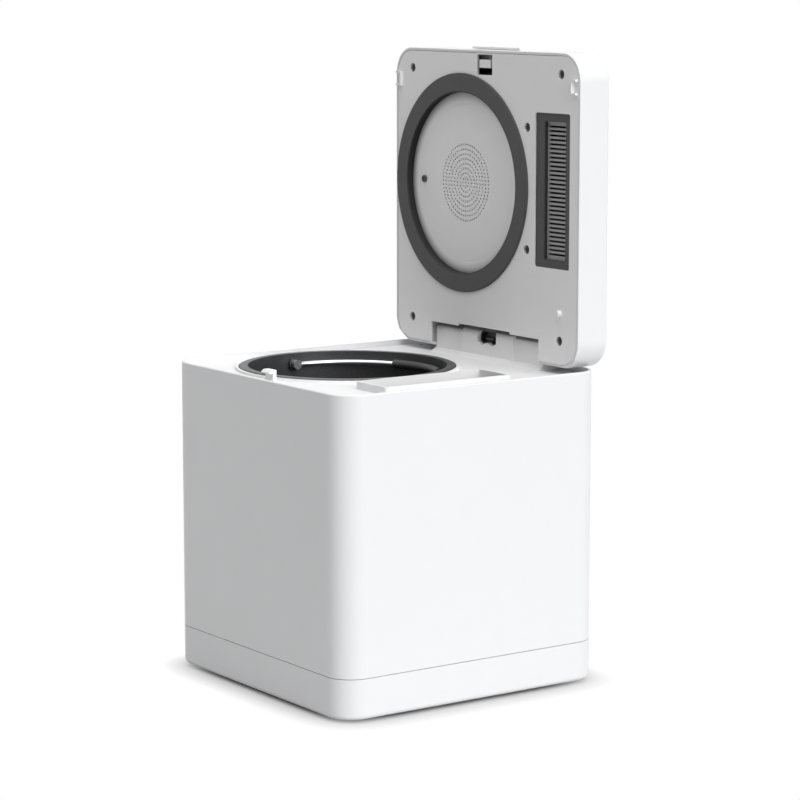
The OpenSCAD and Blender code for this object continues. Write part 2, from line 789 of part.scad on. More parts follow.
module heating_well() color("silver") difference() {
    union() {
        at_bowl() {
            translate([0, 0, well_floor - well_floor_t])
                cylinder(r = well_r + well_t, h = well_top - well_floor + well_floor_t, $fn = 128);
            translate([0, 0, well_top - 3]) cylinder(r = bucket_rim_r + 0.5, h = 3, $fn = 128);
            for (a = well_ear_angles) rotate(a) {
                translate([well_ear_r, 0, well_ear_z - 3]) cylinder(r = post_r + 1, h = 3, $fn = 48);
                box_between([well_r + 1, -post_r - 1, well_ear_z - 3],
                    [well_ear_r, post_r + 1, well_ear_z]);
            }
        }
    }
    at_bowl() {
        translate([0, 0, well_floor]) cylinder(r = well_r, h = well_top - well_floor + 1, $fn = 128);
        translate([0, 0, well_floor - well_floor_t - 1]) cylinder(r = well_hole_r, h = 10, $fn = 64);
        for (a = well_ear_angles) rotate(a)
            translate([well_ear_r, 0, well_ear_z - 4]) cylinder(r = 1.7, h = 6, $fn = 32);
    }
}

module heater_band() color("peru") at_bowl() difference() {
    inner = well_r + well_t + press;
    translate([0, 0, heater_z]) cylinder(r = inner + heater_t, h = heater_h, $fn = 128);
    translate([0, 0, heater_z - 1]) cylinder(r = inner, h = heater_h + 2, $fn = 128);
    // The clamp gap of the band
    translate([0, -2, heater_z - 1]) cube([inner + 10, 4, heater_h + 2]);
}

module thermal_sensor() color("tan") translate([bowl_x, bowl_y + 50, well_floor - well_floor_t - fit]) {
    translate([0, 0, -4]) cylinder(r = 8, h = 4, $fn = 48);
    translate([-2, -3, -9]) cube([4, 6, 6]);
}

// The inside of the gearbox, as three overlapping rounds over the three shafts
module gearbox_plan(extra) {
    translate([gear_x, gear_y]) circle(r = output_case_r + extra, $fn = 128);
    translate([idler_x, idler_y]) circle(r = idler_case_r + extra, $fn = 96);
    translate([motor_x, motor_y]) circle(r = pinion_case_r + extra, $fn = 64);
}

module gearbox_ear_plan() {
    for (p = gearbox_ears) {
        translate(p) circle(r = gearbox_ear_r, $fn = 48);
        inward = atan2(p[1] - gear_y, p[0] - gear_x);
        translate(p) rotate(inward + 180) translate([0, -4]) square([11, 8]);
    }
}

module gearbox_case() color("gray") difference() {
    union() {
        translate([0, 0, gearbox_z]) linear_extrude(gearbox_t + gearbox_h) gearbox_plan(gearbox_t);
        translate([0, 0, gearbox_z]) linear_extrude(4) gearbox_ear_plan();
    }
    translate([0, 0, gear_floor]) linear_extrude(gearbox_h + 1) gearbox_plan(0);
    translate([gear_x, gear_y, gearbox_z - 1])
        cylinder(r = drive_shaft_r + gear_bush_t, h = gearbox_t + 2, $fn = 64);
    translate([idler_x, idler_y, gearbox_z - 1])
        cylinder(r = idler_shaft_r + gear_bush_t, h = gearbox_t + 2, $fn = 64);
    translate([motor_x, motor_y, gearbox_z - 1]) cylinder(r = pinion_shaft_r + 2, h = gearbox_t + 2, $fn = 48);
    for (p = gearbox_ears) translate([p[0], p[1], gearbox_z - 1]) cylinder(r = 1.8, h = 8, $fn = 32);
}

module gearbox_cover() color("darkgray") difference() {
    union() {
        translate([0, 0, cover_z]) linear_extrude(gearbox_t) gearbox_plan(gearbox_t);
        translate([gear_x, gear_y, cover_z]) cylinder(r = drive_shaft_r + gear_bush_t + 4, h = gearbox_t + 3, $fn = 64);
    }
    translate([gear_x, gear_y, cover_z - 1]) cylinder(r = drive_shaft_r + gear_bush_t, h = 12, $fn = 64);
    translate([idler_x, idler_y, cover_z - 1]) cylinder(r = idler_shaft_r + gear_bush_t, h = 12, $fn = 64);
}

// A plain bush in its hole, from one level up to another
module bush(x, y, low, high, shaft_r) {
    translate([x, y, low]) difference() {
        cylinder(r = shaft_r + gear_bush_t - snug, h = high - low, $fn = 64);
        translate([0, 0, -1]) cylinder(r = shaft_r + running, h = high - low + 2, $fn = 64);
    }
}

module shaft_bushes() color("goldenrod") {
    bush(gear_x, gear_y, gearbox_z, gear_floor, drive_shaft_r);
    bush(gear_x, gear_y, cover_z, cover_z + gearbox_t + 3, drive_shaft_r);
    bush(idler_x, idler_y, gearbox_z, gear_floor, idler_shaft_r);
    bush(idler_x, idler_y, cover_z, cover_z + gearbox_t, idler_shaft_r);
}

module drive_motor() color("slategray") translate([motor_x, motor_y, 0]) difference() {
    top = gearbox_z - fit;
    union() {
        translate([0, 0, top - motor_len]) cylinder(r = motor_r, h = motor_len - 2, $fn = 96);
        translate([0, 0, top - 3]) cylinder(r = motor_r - 4, h = 3, $fn = 96);
        translate([0, 0, top - motor_len - 3]) cylinder(r = 8, h = 4, $fn = 48);
    }
    translate([0, 0, top - 12]) cylinder(r = pinion_shaft_r + running, h = 20, $fn = 48);
}

module motor_pinion() color("goldenrod") translate([motor_x, motor_y, 0]) {
    translate([0, 0, gearbox_z - 11]) cylinder(r = pinion_shaft_r, h = fast_z - gearbox_z + 12, $fn = 48);
    translate([0, 0, fast_z]) rotate(motor_dir + 180 + 180 / pinion_teeth)
        linear_extrude(fast_h) gear_outline(pinion_teeth, fast_module);
}

module idler_gear() color("ivory") translate([idler_x, idler_y, 0]) {
    translate([0, 0, gearbox_z + 0.2])
        cylinder(r = idler_shaft_r, h = cover_z + gearbox_t - gearbox_z - 0.4, $fn = 48);
    translate([0, 0, fast_z]) rotate(motor_dir)
        linear_extrude(fast_h) gear_outline(idler_large_teeth, fast_module);
    translate([0, 0, fast_z + fast_h - 1]) rotate(idler_dir + 180 + 180 / idler_small_teeth)
        linear_extrude(slow_z + slow_h - fast_z - fast_h + 1)
            gear_outline(idler_small_teeth, slow_module);
}

module output_gear() color("ivory") translate([gear_x, gear_y, slow_z]) difference() {
    rotate(idler_dir) linear_extrude(slow_h) difference() {
        gear_outline(output_teeth, slow_module);
        circle(r = drive_shaft_r + snug, $fn = 64);
        for (i = [0:5]) rotate(i * 60 + 30) translate([21, 0]) circle(r = 6, $fn = 48);
    }
}

// The cross of the coupling, with air all round
module dog_plan(air) {
    circle(r = dog_core_r + air, $fn = 64);
    for (turn = [0, 90]) rotate(turn) square([2 * (dog_r + air), dog_w + 2 * air], center = true);
}

module drive_shaft() color("silver") at_bowl() {
    translate([0, 0, gearbox_z + 0.2]) cylinder(r = drive_shaft_r, h = dog_top - gearbox_z - 6, $fn = 64);
    translate([0, 0, well_floor - 9]) cylinder(r = dog_r + 2, h = 6, $fn = 64);
    translate([0, 0, well_floor - 4]) linear_extrude(dog_top - well_floor + 4) dog_plan(0);
}

module driven_coupler() color("silver") at_bowl() difference() {
    union() {
        translate([0, 0, coupler_foot]) cylinder(r = coupler_r, h = coupler_top - coupler_foot, $fn = 64);
        translate([0, 0, coupler_top - 1]) cylinder(r = stir_shaft_r, h = hub_top - coupler_top - 3, $fn = 48);
    }
    translate([0, 0, coupler_foot - 1]) linear_extrude(dog_top - coupler_foot + 1 + fit) dog_plan(0.4);
}

module bucket_bush() color("goldenrod") at_bowl() difference() {
    translate([0, 0, bucket_floor - bucket_floor_t]) cylinder(r = bush_r - snug, h = bucket_floor_t + 1, $fn = 64);
    translate([0, 0, bucket_floor - 10]) cylinder(r = stir_shaft_r + running, h = 20, $fn = 48);
}

// Half of the bucket's section, as solid metal before the hollows are cut
module bucket_section() {
    rim_edge = 1.5;
    translate([0, bucket_floor - bucket_floor_t]) square([bucket_out, bucket_depth + bucket_floor_t - 1]);
    translate([bucket_r - 4, bucket_rim_z]) square([bucket_rim_w + 4, bucket_rim_h - rim_edge]);
    translate([0, bucket_rim_z]) square([bucket_rim_r - rim_edge, bucket_rim_h]);
    translate([bucket_rim_r - rim_edge, bucket_top - rim_edge]) circle(r = rim_edge, $fn = 48);
}

module bucket_hollow() {
    translate([0, bucket_floor + bucket_round]) square([bucket_r, bucket_depth]);
    translate([0, bucket_floor]) square([bucket_r - bucket_round, bucket_depth]);
    translate([bucket_r - bucket_round, bucket_floor + bucket_round]) circle(r = bucket_round, $fn = 96);
}

module bucket() color("dimgray") at_bowl() difference() {
    union() {
        rotate_extrude($fn = 128) difference() {
            bucket_section();
            bucket_hollow();
        }
        for (side = [-1, 1]) translate([side * (ear_in + bucket_out) / 2, 0, bail_z])
            rotate([0, 90, 0]) cylinder(r = ear_r, h = bucket_out - ear_in, center = true, $fn = 48);
        for (a = [30, 150, 270]) rotate(a)
            box_between([bucket_r - fixed_reach, -2, fixed_z], [bucket_r + 1, 2, fixed_z + fixed_h]);
    }
    translate([0, 0, bail_z]) rotate([0, 90, 0])
        cylinder(r = bail_r + running, h = 2 * bucket_out + 10, center = true, $fn = 48);
    translate([0, 0, bucket_floor - 10]) cylinder(r = bush_r, h = 20, $fn = 64);
}

// The foot ring under the bucket's floor
module bucket_skirt() color("dimgray") at_bowl() rotate_extrude($fn = 128)
    translate([bucket_out - 2 * bucket_t, bucket_foot]) square([2 * bucket_t, skirt_h - press]);

module bail_handle() color("silver") translate([bowl_x, bowl_y, bail_z]) {
    rotate_extrude(angle = 180, $fn = 128) translate([bail_hoop_r, 0]) circle(r = bail_r, $fn = 48);
    for (side = [-1, 1]) rotate([0, side * 90, 0]) {
        translate([0, 0, bail_hoop_r - bail_r]) cylinder(r = 2 * bail_r - 0.5, h = 2 * bail_r, $fn = 48);
        cylinder_from(bail_hoop_r, bucket_out - 0.3, bail_r);
    }
}

// A round bar along its own axis between two distances
module cylinder_from(low, high, r) {
    translate([0, 0, low]) cylinder(r = r, h = high - low, $fn = 48);
}

module bail_grip() color("dimgray") translate([bowl_x, bowl_y, bail_z]) rotate(65)
    rotate_extrude(angle = 50, $fn = 128) translate([bail_hoop_r, 0]) difference() {
        circle(r = grip_r, $fn = 48);
        circle(r = bail_r + snug, $fn = 48);
    }

// One arm: a tapered bar carried along an arc that leaves the hub and sweeps back
module arm(reach) {
    bend_angle = 2 * asin((reach - arm_t / 2) / 2 / arm_bend);
    root_angle = 2 * asin((hub_r - 3) / 2 / arm_bend);
    translate([0, arm_bend, 0]) rotate(root_angle - 90)
        rotate_extrude(angle = bend_angle - root_angle, $fn = 128) translate([arm_bend - arm_t / 2, 0])
            polygon([[0, 0], [arm_t, 0], [arm_t * 0.8, arm_h], [arm_t * 0.3, arm_h]]);
}

module stirrer() color("gray") at_bowl() {
    rotate_extrude($fn = 96) difference() {
        union() {
            translate([0, stir_z]) square([hub_r, hub_top - stir_z - hub_dome]);
            translate([0, stir_z]) square([hub_r - hub_dome, hub_top - stir_z]);
            translate([hub_r - hub_dome, hub_top - hub_dome]) circle(r = hub_dome, $fn = 64);
        }
        translate([0, stir_z - 1]) square([stir_shaft_r + snug, hub_top - stir_z - 3]);
    }
    for (i = [0:arm_count - 1]) rotate(i * 360 / arm_count) {
        translate([0, 0, stir_z + 0.5]) arm(low_reach);
        rotate(180 / arm_count) translate([0, 0, upper_arm_z]) arm(arm_reach);
    }
}

module well_screws() color("silver") at_bowl() for (a = well_ear_angles) rotate(a)
    translate([well_ear_r, 0, well_ear_z - 3]) screw(1.45, 2.9, 1.8, ear_drop + 1);

module gearbox_screws() color("silver") for (p = gearbox_ears)
    translate([p[0], p[1], gearbox_z + 4]) mirror([0, 0, 1]) screw(1.5, 2.9, 1.8, 12);

module case_screws() color("silver") at_posts() translate([0, 0, screw_seat])
    screw(screw_r, screw_head_r, screw_head_h, case_screw_len);

module filter_duct() color("lightgray") difference() {
    outer_low = [outlet_x - collar_w / 2, outlet_y - collar_d / 2, plenum_z];
    union() {
        box_between(outer_low, [outlet_x + collar_w / 2, outlet_y + collar_d / 2, duct_top]);
        box_between(outer_low, [outlet_x + collar_w / 2, plenum_back, plenum_top]);
    }
    translate([outlet_x, outlet_y, (filter_foot - fit + duct_top) / 2 + 1])
        cube([collar_w - 2 * duct_t, collar_d - 2 * duct_t, duct_top - filter_foot + fit + 2], center = true);
    translate([outlet_x, outlet_y, plenum_top])
        cube([collar_w - 2 * duct_t - 6, collar_d - 2 * duct_t - 6, 30], center = true);
    box_between(outer_low + [duct_t, duct_t, duct_t],
        [outlet_x + collar_w / 2 - duct_t, plenum_back - duct_t, plenum_top - duct_t]);
    translate([blower_x, blower_y, plenum_z - 1]) cylinder(r = inlet_r, h = duct_t + 2, $fn = 64);
}

// The blower's volute: its radius grows clockwise from the tongue to the outlet
function scroll_r(turn) = scroll_start + scroll_growth * turn / 270;
module scroll_plan(extra, reach) {
    right = extra - outlet_in;
    polygon(concat(
        [for (turn = [-20:10:270]) (scroll_r(max(0, turn)) + extra) * [sin(turn), cos(turn)]],
        [[-outlet_gap_x - extra, reach], [right, reach],
            [right, sqrt(pow(scroll_start + extra, 2) - right * right)]]));
}

module blower_case() color("gray") translate([blower_x, blower_y, blower_z]) difference() {
    reach = hd - shell_t - fit - blower_y;
    linear_extrude(blower_h) scroll_plan(0, reach);
    translate([0, 0, scroll_t]) linear_extrude(blower_h - 2 * scroll_t) scroll_plan(-scroll_t, reach + 1);
    translate([0, 0, -1]) cylinder(r = inlet_r, h = blower_h + 2, $fn = 64);
}

module blower_motor() color("dimgray") translate([blower_x, blower_y, blower_z]) difference() {
    union() {
        translate([0, 0, -fan_motor_h]) cylinder(r = fan_motor_r, h = fan_motor_h + 1, $fn = 64);
        translate([0, 0, -2.4]) cylinder(r = inlet_r + 4, h = 2.1, $fn = 64);
    }
    translate([0, 0, -10]) cylinder(r = fan_shaft_r + running, h = 20, $fn = 32);
}

module blower_wheel() color("black") translate([blower_x, blower_y, 0]) {
    translate([0, 0, blower_z - 8]) cylinder(r = fan_shaft_r, h = wheel_z - blower_z + 9, $fn = 32);
    translate([0, 0, wheel_z]) cylinder(r = wheel_hub_r, h = wheel_h - 4, $fn = 48);
    translate([0, 0, wheel_z]) cylinder(r = wheel_r, h = 1.5, $fn = 96);
    translate([0, 0, wheel_z + 1]) linear_extrude(wheel_h - 2)
        for (i = [0:wheel_blades - 1]) rotate(i * 360 / wheel_blades)
            translate([wheel_r - 8, 0]) rotate(35) square([7.4, 1]);
    translate([0, 0, wheel_z + wheel_h - 1.5]) linear_extrude(1.5) difference() {
        circle(r = wheel_r, $fn = 96);
        circle(r = wheel_r - 6, $fn = 96);
    }
}

module exhaust_grille() color("dimgray") translate([exhaust_x, hd, exhaust_z]) {
    w = exhaust_w - 2 * fit;
    h = exhaust_h - 2 * fit;
    frame = 3;
    pitch = (h - 2 * frame) / exhaust_slats;
    rotate([90, 0, 0]) linear_extrude(shell_t) difference() {
        square([w, h], center = true);
        square([w - 2 * frame, h - 2 * frame], center = true);
    }
    for (i = [1:exhaust_slats - 1])
        translate([0, -shell_t / 2, -h / 2 + frame + i * pitch])
            cube([w - frame, shell_t, 1.6], center = true);
}

module main_board() color("darkgreen") translate([board_x, board_y, board_z]) {
    translate([-board_w / 2, -board_d / 2, 0]) cube([board_w, board_d, board_t]);
    translate([-36, -22, board_t - 0.1]) cube([26, 22, 20]);
    translate([-2, -22, board_t - 0.1]) cube([16, 19, 15]);
    translate([20, -24, board_t - 0.1]) cube([14, 8, 9]);
    for (i = [0:2]) translate([-32 + 14 * i, 14, board_t - 0.1]) cylinder(r = 5, h = 16, $fn = 48);
    for (i = [0:2]) translate([12 + 10 * i, 16, board_t - 0.1]) cube([8, 7, 7]);
}

module power_inlet() color("black") translate([inlet_x, hd, inlet_z]) rotate([90, 0, 0]) difference() {
    flange = 2.5;
    union() {
        translate([0, 0, -1.6]) linear_extrude(1.6) round_rect(socket_w + 2 * flange, socket_h + 2 * flange, 2);
        translate([0, 0, -0.1]) linear_extrude(socket_depth) square([socket_w, socket_h], center = true);
    }
    difference() {
        translate([0, 0, -2]) linear_extrude(socket_depth - 1) round_rect(socket_w - 4, socket_h - 4, 2);
        for (x = [-7, 0, 7]) translate([x, x == 0 ? 3 : -1, socket_depth / 2])
            cube([2, 4, socket_depth], center = true);
    }
}

module lid_sensor() color("dimgray") translate([peg_x, peg_y, deck_under - fit - 9]) difference() {
    translate([-9, -7, 0]) cube([18, 14, 9]);
    translate([0, 0, 5]) cylinder(r = peg_r + 1, h = 10, $fn = 48);
}

module filter_frame() color("dimgray") translate([outlet_x, outlet_y, filter_foot]) {
    inner_w = filter_w - 2 * filter_wall;
    inner_d = filter_d - 2 * filter_wall;
    bars = 8;
    difference() {
        translate([-filter_w / 2, -filter_d / 2, 0]) cube([filter_w, filter_d, filter_h]);
        translate([-inner_w / 2, -inner_d / 2, -1]) cube([inner_w, inner_d, filter_h + 2]);
    }
    for (level = [0, filter_h - 2], i = [1:bars])
        translate([-filter_w / 2 + 0.5, -inner_d / 2 + i * inner_d / (bars + 1) - 1, level])
            cube([filter_w - 1, 2, 2]);
    translate([-1, -inner_d / 2 - 0.5, filter_h - 2]) cube([2, inner_d + 1, 2]);
    difference() {
        box_between([-1.2, -tab_half, filter_h - 1], [1.2, tab_half, filter_h + tab_h]);
        box_between([-2, -tab_half + 4, filter_h], [2, tab_half - 4, filter_h + tab_grip]);
    }
}

module filter_media() color("black") translate([outlet_x, outlet_y, filter_foot]) {
    w = filter_w - 2 * filter_wall - 0.4;
    d = filter_d - 2 * filter_wall - 0.4;
    translate([-w / 2, -d / 2, 2.2]) cube([w, d, filter_h - 4.4]);
}

// The lid's pieces are drawn closed, and each is turned open as it is placed

module lid_cover() color("white") lid_open() difference() {
    union() {
        difference() {
            translate([0, 0, lid_z + panel_t]) {
                soft_slab(body_w, body_d, lid_t - panel_t, corner_r, lid_round);
                mirror([0, 0, 1]) soft_slab(body_w, body_d, panel_t, corner_r, panel_round);
            }
            translate([0, 0, lid_z - 1]) linear_extrude(lid_t - lid_wall + 1)
                round_rect(body_w - 2 * lid_wall, body_d - 2 * lid_wall, corner_r - lid_wall);
        }
        for (p = lid_screw_places) translate([p[0], p[1], cup_top])
            cylinder(r = 4, h = lid_top - cup_top - 1, $fn = 48);
        translate([0, controls_y, lid_top - lid_wall - 2.4]) linear_extrude(3)
            round_rect(controls_w + 4, controls_d + 4, 5);
    }
    back_edge_cut();
    back_corner_cut();
    box_between([-notch_half, hd - lid_wall - 1, lid_z - 1], [notch_half, hd + 1, lid_z + notch_h]);
    for (p = lid_screw_places) translate([p[0], p[1], lid_z + counter_h])
        cylinder(r = lid_screw_r + snug, h = lid_screw_len + 1, $fn = 32);
    box_between([-bar_web_half - fit, -hd - 1, web_z - fit], [bar_web_half + fit, -hd + lid_wall + 1, web_z + web_t + fit]);
    translate([0, controls_y, lid_top - controls_t]) linear_extrude(controls_t + 1)
        round_rect(controls_w + 2 * fit, controls_d + 2 * fit, 3 + fit);
    translate([0, controls_y, lid_z + 10]) linear_extrude(lid_t)
        round_rect(controls_w - 6, controls_d - 6, 2);
}

module lid_inner_panel() color("whitesmoke") lid_open() difference() {
    union() {
        inset = lid_wall + fit;
        translate([0, 0, lid_z + panel_t]) mirror([0, 0, 1])
            soft_slab(body_w - 2 * inset, body_d - 2 * inset, panel_t, corner_r - inset, panel_round);
        for (p = lid_screw_places) translate([p[0], p[1], lid_z + panel_t - 1])
            cylinder(r = cup_r, h = cup_top - lid_z - panel_t + 1, $fn = 48);
        intersection() {
            notch_room(liner_t);
            box_between([-hw, 0, lid_z + 1], [hw, hd - lid_wall - fit, lid_top]);
        }
        for (side = [-1, 1]) {
            ear_low = notch_half;
            ear_high = notch_half + 10;
            translate([side > 0 ? ear_low : -ear_high, hinge_y, hinge_z]) rotate([90, 0, 90])
                linear_extrude(10) {
                    circle(r = 7.5, $fn = 64);
                    translate([-7.5, -hinge_up + 1]) square([15, hinge_up - 1]);
                }
            scale([side, 1, 1]) translate([hook_x, hook_front, lid_z - hook_out]) {
                cube([hook_t, hook_len, hook_out + 1]);
                for (y = [0, hook_len - hook_t]) translate([0, y, 0]) cube([hook_w, hook_t, hook_out + 1]);
            }
        }
    }
    notch_room(0);
    back_edge_cut();
    back_corner_cut();
    at_bowl() translate([0, 0, lid_z - 1]) cylinder(r = seal_mouth, h = panel_t + 2, $fn = 128);
    translate([outlet_x, outlet_y, lid_z - 1]) linear_extrude(panel_t + 2)
        round_rect(frame_w + 2 * press, frame_d + 2 * press, 2 + press);
    box_between([-latch_half, latch_front, lid_z - 1], [latch_half, latch_back, lid_z + panel_t + 1]);
    for (p = lid_screw_places) translate([p[0], p[1], lid_z - 1]) {
        cylinder(r = counter_r, h = counter_h + 1, $fn = 48);
        cylinder(r = lid_screw_r + 0.2, h = cup_top - lid_z + 2, $fn = 32);
    }
    for (side = [-1, 1]) translate([side * (block_half + 1), hinge_y, hinge_z])
        rotate([0, 90, 0]) cylinder(r = pin_r + snug, h = pin_len - 2, center = true, $fn = 48);
    translate([peg_x, peg_y, lid_z - 1]) cylinder(r = peg_r - 0.5 + snug, h = panel_t + 2, $fn = 48);
}

module lid_gasket() color("dimgray") lid_open() at_bowl() rotate_extrude($fn = 128) {
    edge = 0.45 * seal_h;
    mid = seal_out - seal_in;
    translate([seal_in, lid_z - seal_h + edge]) square([mid, seal_h - edge]);
    translate([seal_in + edge, lid_z - seal_h]) square([mid - 2 * edge, seal_h]);
    for (r = [seal_in + edge, seal_out - edge])
        translate([r, lid_z - seal_h + edge]) circle(r = edge, $fn = 48);
    translate([seal_in, lid_z - 1]) square([seal_mouth - fit - seal_in, seal_root + 1]);
    translate([seal_in, lid_z - 1]) square([seal_skirt, dish_depth + 1]);
}

module vent_dish() color("whitesmoke") lid_open() at_bowl() rotate_extrude($fn = 128) {
    face = lid_z + seal_root;
    deep = lid_z + dish_depth;
    neck = seal_in + seal_skirt;
    back = deep + screen_t - 0.6;
    polygon([[screen_r - 3, deep], [neck, deep], [neck, face], [seal_mouth - fit, face],
        [seal_mouth - fit, lid_z + panel_t], [dish_flange_r, lid_z + panel_t],
        [dish_flange_r, lid_z + panel_t + dish_flange_t], [neck + 3, lid_z + panel_t + dish_flange_t],
        [neck + 2, back], [screen_r - 3, back]]);
}

module vent_screen() color("whitesmoke") lid_open()
    translate([bowl_x, bowl_y, lid_z + dish_depth]) linear_extrude(screen_t) difference() {
        circle(r = screen_r - 3 - press, $fn = 128);
        circle(r = vent_r, $fn = 16);
        for (ring = [1:vent_rings], i = [0:8 * ring - 1]) rotate(i * 45 / ring)
            translate([ring * vent_pitch, 0]) circle(r = vent_r, $fn = 16);
        translate([dish_screw_x - bowl_x, 0]) circle(r = 1.65, $fn = 32);
    }

// The outline of the air opening, grown by a margin on every side
module slot_field(grow) {
    translate([slot_shift, 0]) square([slot_field_w + 2 * grow, slot_field_d + 2 * grow], center = true);
}

module outlet_frame() color("dimgray") lid_open()
    translate([outlet_x, outlet_y, lid_z + frame_sink]) difference() {
        seat = panel_t - frame_sink;
        union() {
            linear_extrude(seat + frame_flange_t) round_rect(frame_w, frame_d, 2);
            translate([0, 0, seat]) linear_extrude(frame_flange_t)
                round_rect(frame_w + 2 * frame_flange_w, frame_d + 2 * frame_flange_w, 4);
        }
        translate([0, 0, -1]) linear_extrude(panel_t + frame_flange_t) slot_field(louvre_wall + press);
    }

module outlet_grille() color("gray") lid_open()
    translate([outlet_x, outlet_y, lid_z + frame_sink + louvre_sink]) {
        seat = panel_t + frame_flange_t - frame_sink - louvre_sink;
        difference() {
            linear_extrude(louvre_t) slot_field(louvre_rim);
            for (i = [0:louvre_count - 1])
                translate([slot_shift, (i - (louvre_count - 1) / 2) * louvre_pitch, louvre_t / 2])
                    cube([slot_field_w - 3, louvre_gap, louvre_t + 2], center = true);
        }
        translate([0, 0, seat]) linear_extrude(0.5 - seat) difference() {
            slot_field(louvre_rim);
            slot_field(0);
        }
        translate([0, 0, press - louvre_sink]) linear_extrude(louvre_sink) difference() {
            slot_field(louvre_wall);
            slot_field(0);
        }
    }

// The plan of the air duct in the lid, from the vent to the outlet
module lid_duct_plan(inset) {
    grow = frame_flange_w + fit + duct_wall - inset;
    throat = slot_field_d / 3;
    translate([bowl_x, bowl_y]) circle(r = dish_flange_r + fit + duct_wall - inset, $fn = 128);
    translate([outlet_x, outlet_y]) square([frame_w + 2 * grow, frame_d + 2 * grow], center = true);
    translate([bowl_x, bowl_y - throat + inset]) square([outlet_x - bowl_x, 2 * (throat - inset)]);
}

module lid_duct() color("lightgray") lid_open() {
    low = lid_z + panel_t + 0.2;
    difference() {
        translate([0, 0, low]) linear_extrude(duct_h) lid_duct_plan(0);
        translate([0, 0, low - 1]) linear_extrude(duct_h - duct_wall + 1) lid_duct_plan(duct_wall);
    }
    difference() {
        translate([dish_screw_x, bowl_y, lid_z + dish_depth + screen_t + 0.1])
            cylinder(r = 4, h = low + duct_h - lid_z - dish_depth - screen_t - 1, $fn = 48);
        translate([dish_screw_x, bowl_y, lid_z]) cylinder(r = lid_screw_r + snug, h = 16, $fn = 32);
    }
}

module lid_screws() color("gray") lid_open() {
    for (p = lid_screw_places) translate([p[0], p[1], lid_z + counter_h])
        screw(lid_screw_r, lid_head_r, lid_head_h, lid_screw_len);
    translate([dish_screw_x, bowl_y, lid_z + dish_depth]) screw(lid_screw_r, lid_head_r, lid_head_h, 10);
}

module hinge_pins() color("silver") for (side = [-1, 1])
    translate([side * (block_half - pin_len / 2 + 9.4), hinge_y, hinge_z]) rotate([0, 90, 0])
        cylinder(r = pin_r, h = pin_len, center = true, $fn = 48);

module sensor_peg() color("whitesmoke") lid_open() translate([peg_x, peg_y, 0]) {
    translate([0, 0, lid_z - peg_out]) cylinder(r = peg_r, h = peg_out, $fn = 48);
    translate([0, 0, lid_z - 1]) cylinder(r = peg_r - 0.5, h = panel_t + 1, $fn = 48);
}

module control_panel() color("dimgray") lid_open() translate([0, controls_y, lid_top - controls_t]) difference() {
    linear_extrude(controls_t - controls_sink) round_rect(controls_w, controls_d, 3);
    translate([0, 0, -1]) cylinder(r = button_r + running + 0.04, h = 10, $fn = 64);
    for (i = [0:2]) translate([-22 - lens_pitch * i, 0, -1]) cylinder(r = lens_r, h = 10, $fn = 32);
}

module indicator_lenses() color("honeydew") lid_open() for (i = [0:2])
    translate([-22 - lens_pitch * i, controls_y, lid_top - controls_t])
        cylinder(r = lens_r - snug, h = controls_t - controls_sink, $fn = 32);

module display_board() color("darkgreen") lid_open() translate([0, controls_y, lid_top - controls_t]) {
    drop = fit + button_flange + button_travel + 2.2;
    translate([-controls_w / 2 + 5, -controls_d / 2 + 4, -drop - display_t])
        cube([controls_w - 10, controls_d - 8, display_t]);
    for (i = [0:2]) translate([-22 - lens_pitch * i, 0, -drop - 0.1]) cylinder(r = lens_r, h = drop - 0.2, $fn = 32);
    translate([-3, -3, -drop - 0.1]) cube([6, 6, 1.6]);
    for (side = [-1, 1]) translate([side * (controls_w / 2 - 8), 0, -drop - 0.1])
        cylinder(r = 2.5, h = drop, $fn = 32);
}

module start_button() color("silver") lid_open() translate([0, controls_y, lid_top - controls_t]) {
    cylinder(r = button_r, h = controls_t - controls_sink + button_proud, $fn = 64);
    translate([0, 0, -fit - button_flange]) cylinder(r = button_r + 1.5, h = button_flange, $fn = 64);
    translate([0, 0, -fit - 0.1]) cylinder(r = button_r - 1, h = fit + 0.2, $fn = 64);
}

module release_bar() color("whitesmoke") lid_open() {
    box_between([-bar_web_half, -hd - 0.6, web_z], [bar_web_half, tongue_front + 2.4, web_z + web_t]);
    translate([-bar_half, -hd - bar_lip, web_z - 2]) rotate([90, 0, 90]) linear_extrude(2 * bar_half) {
        translate([1.2, 0]) square([bar_lip - 0.4 - 1.2, bar_lip_h]);
        translate([0, 1.2]) square([bar_lip - 0.4, bar_lip_h - 2.4]);
        for (z = [1.2, bar_lip_h - 1.2]) translate([1.2, z]) circle(r = 1.2, $fn = 32);
    }
    box_between([-striker_half - 2, tongue_front, tongue_z], [striker_half + 2, tongue_front + 2.4, web_z + 0.5]);
    box_between([-striker_half - 2, tongue_front, tongue_z], [striker_half + 2, tongue_back, tongue_top]);
    for (side = [-1, 1]) scale([side, 1, 1]) {
        box_between([spring_x - 10, tongue_front, web_z], [bar_web_half, wing_back, web_z + web_t]);
        box_between([spring_x - 5, wing_back - wing_t, web_z], [spring_x + 5, wing_back, spring_z + spring_r]);
    }
}

// Two small springs between the lid's front wall and the release bar's shoulders
module latch_springs() color("silver") lid_open() for (side = [-1, 1])
    translate([side * spring_x, -hd + lid_wall + fit, spring_z]) rotate([-90, 0, 0]) difference() {
        len = wing_back - wing_t - fit + hd - lid_wall - fit;
        cylinder(r = spring_r, h = len, $fn = 48);
        translate([0, 0, -1]) cylinder(r = spring_r - spring_wire, h = len + 2, $fn = 48);
    }

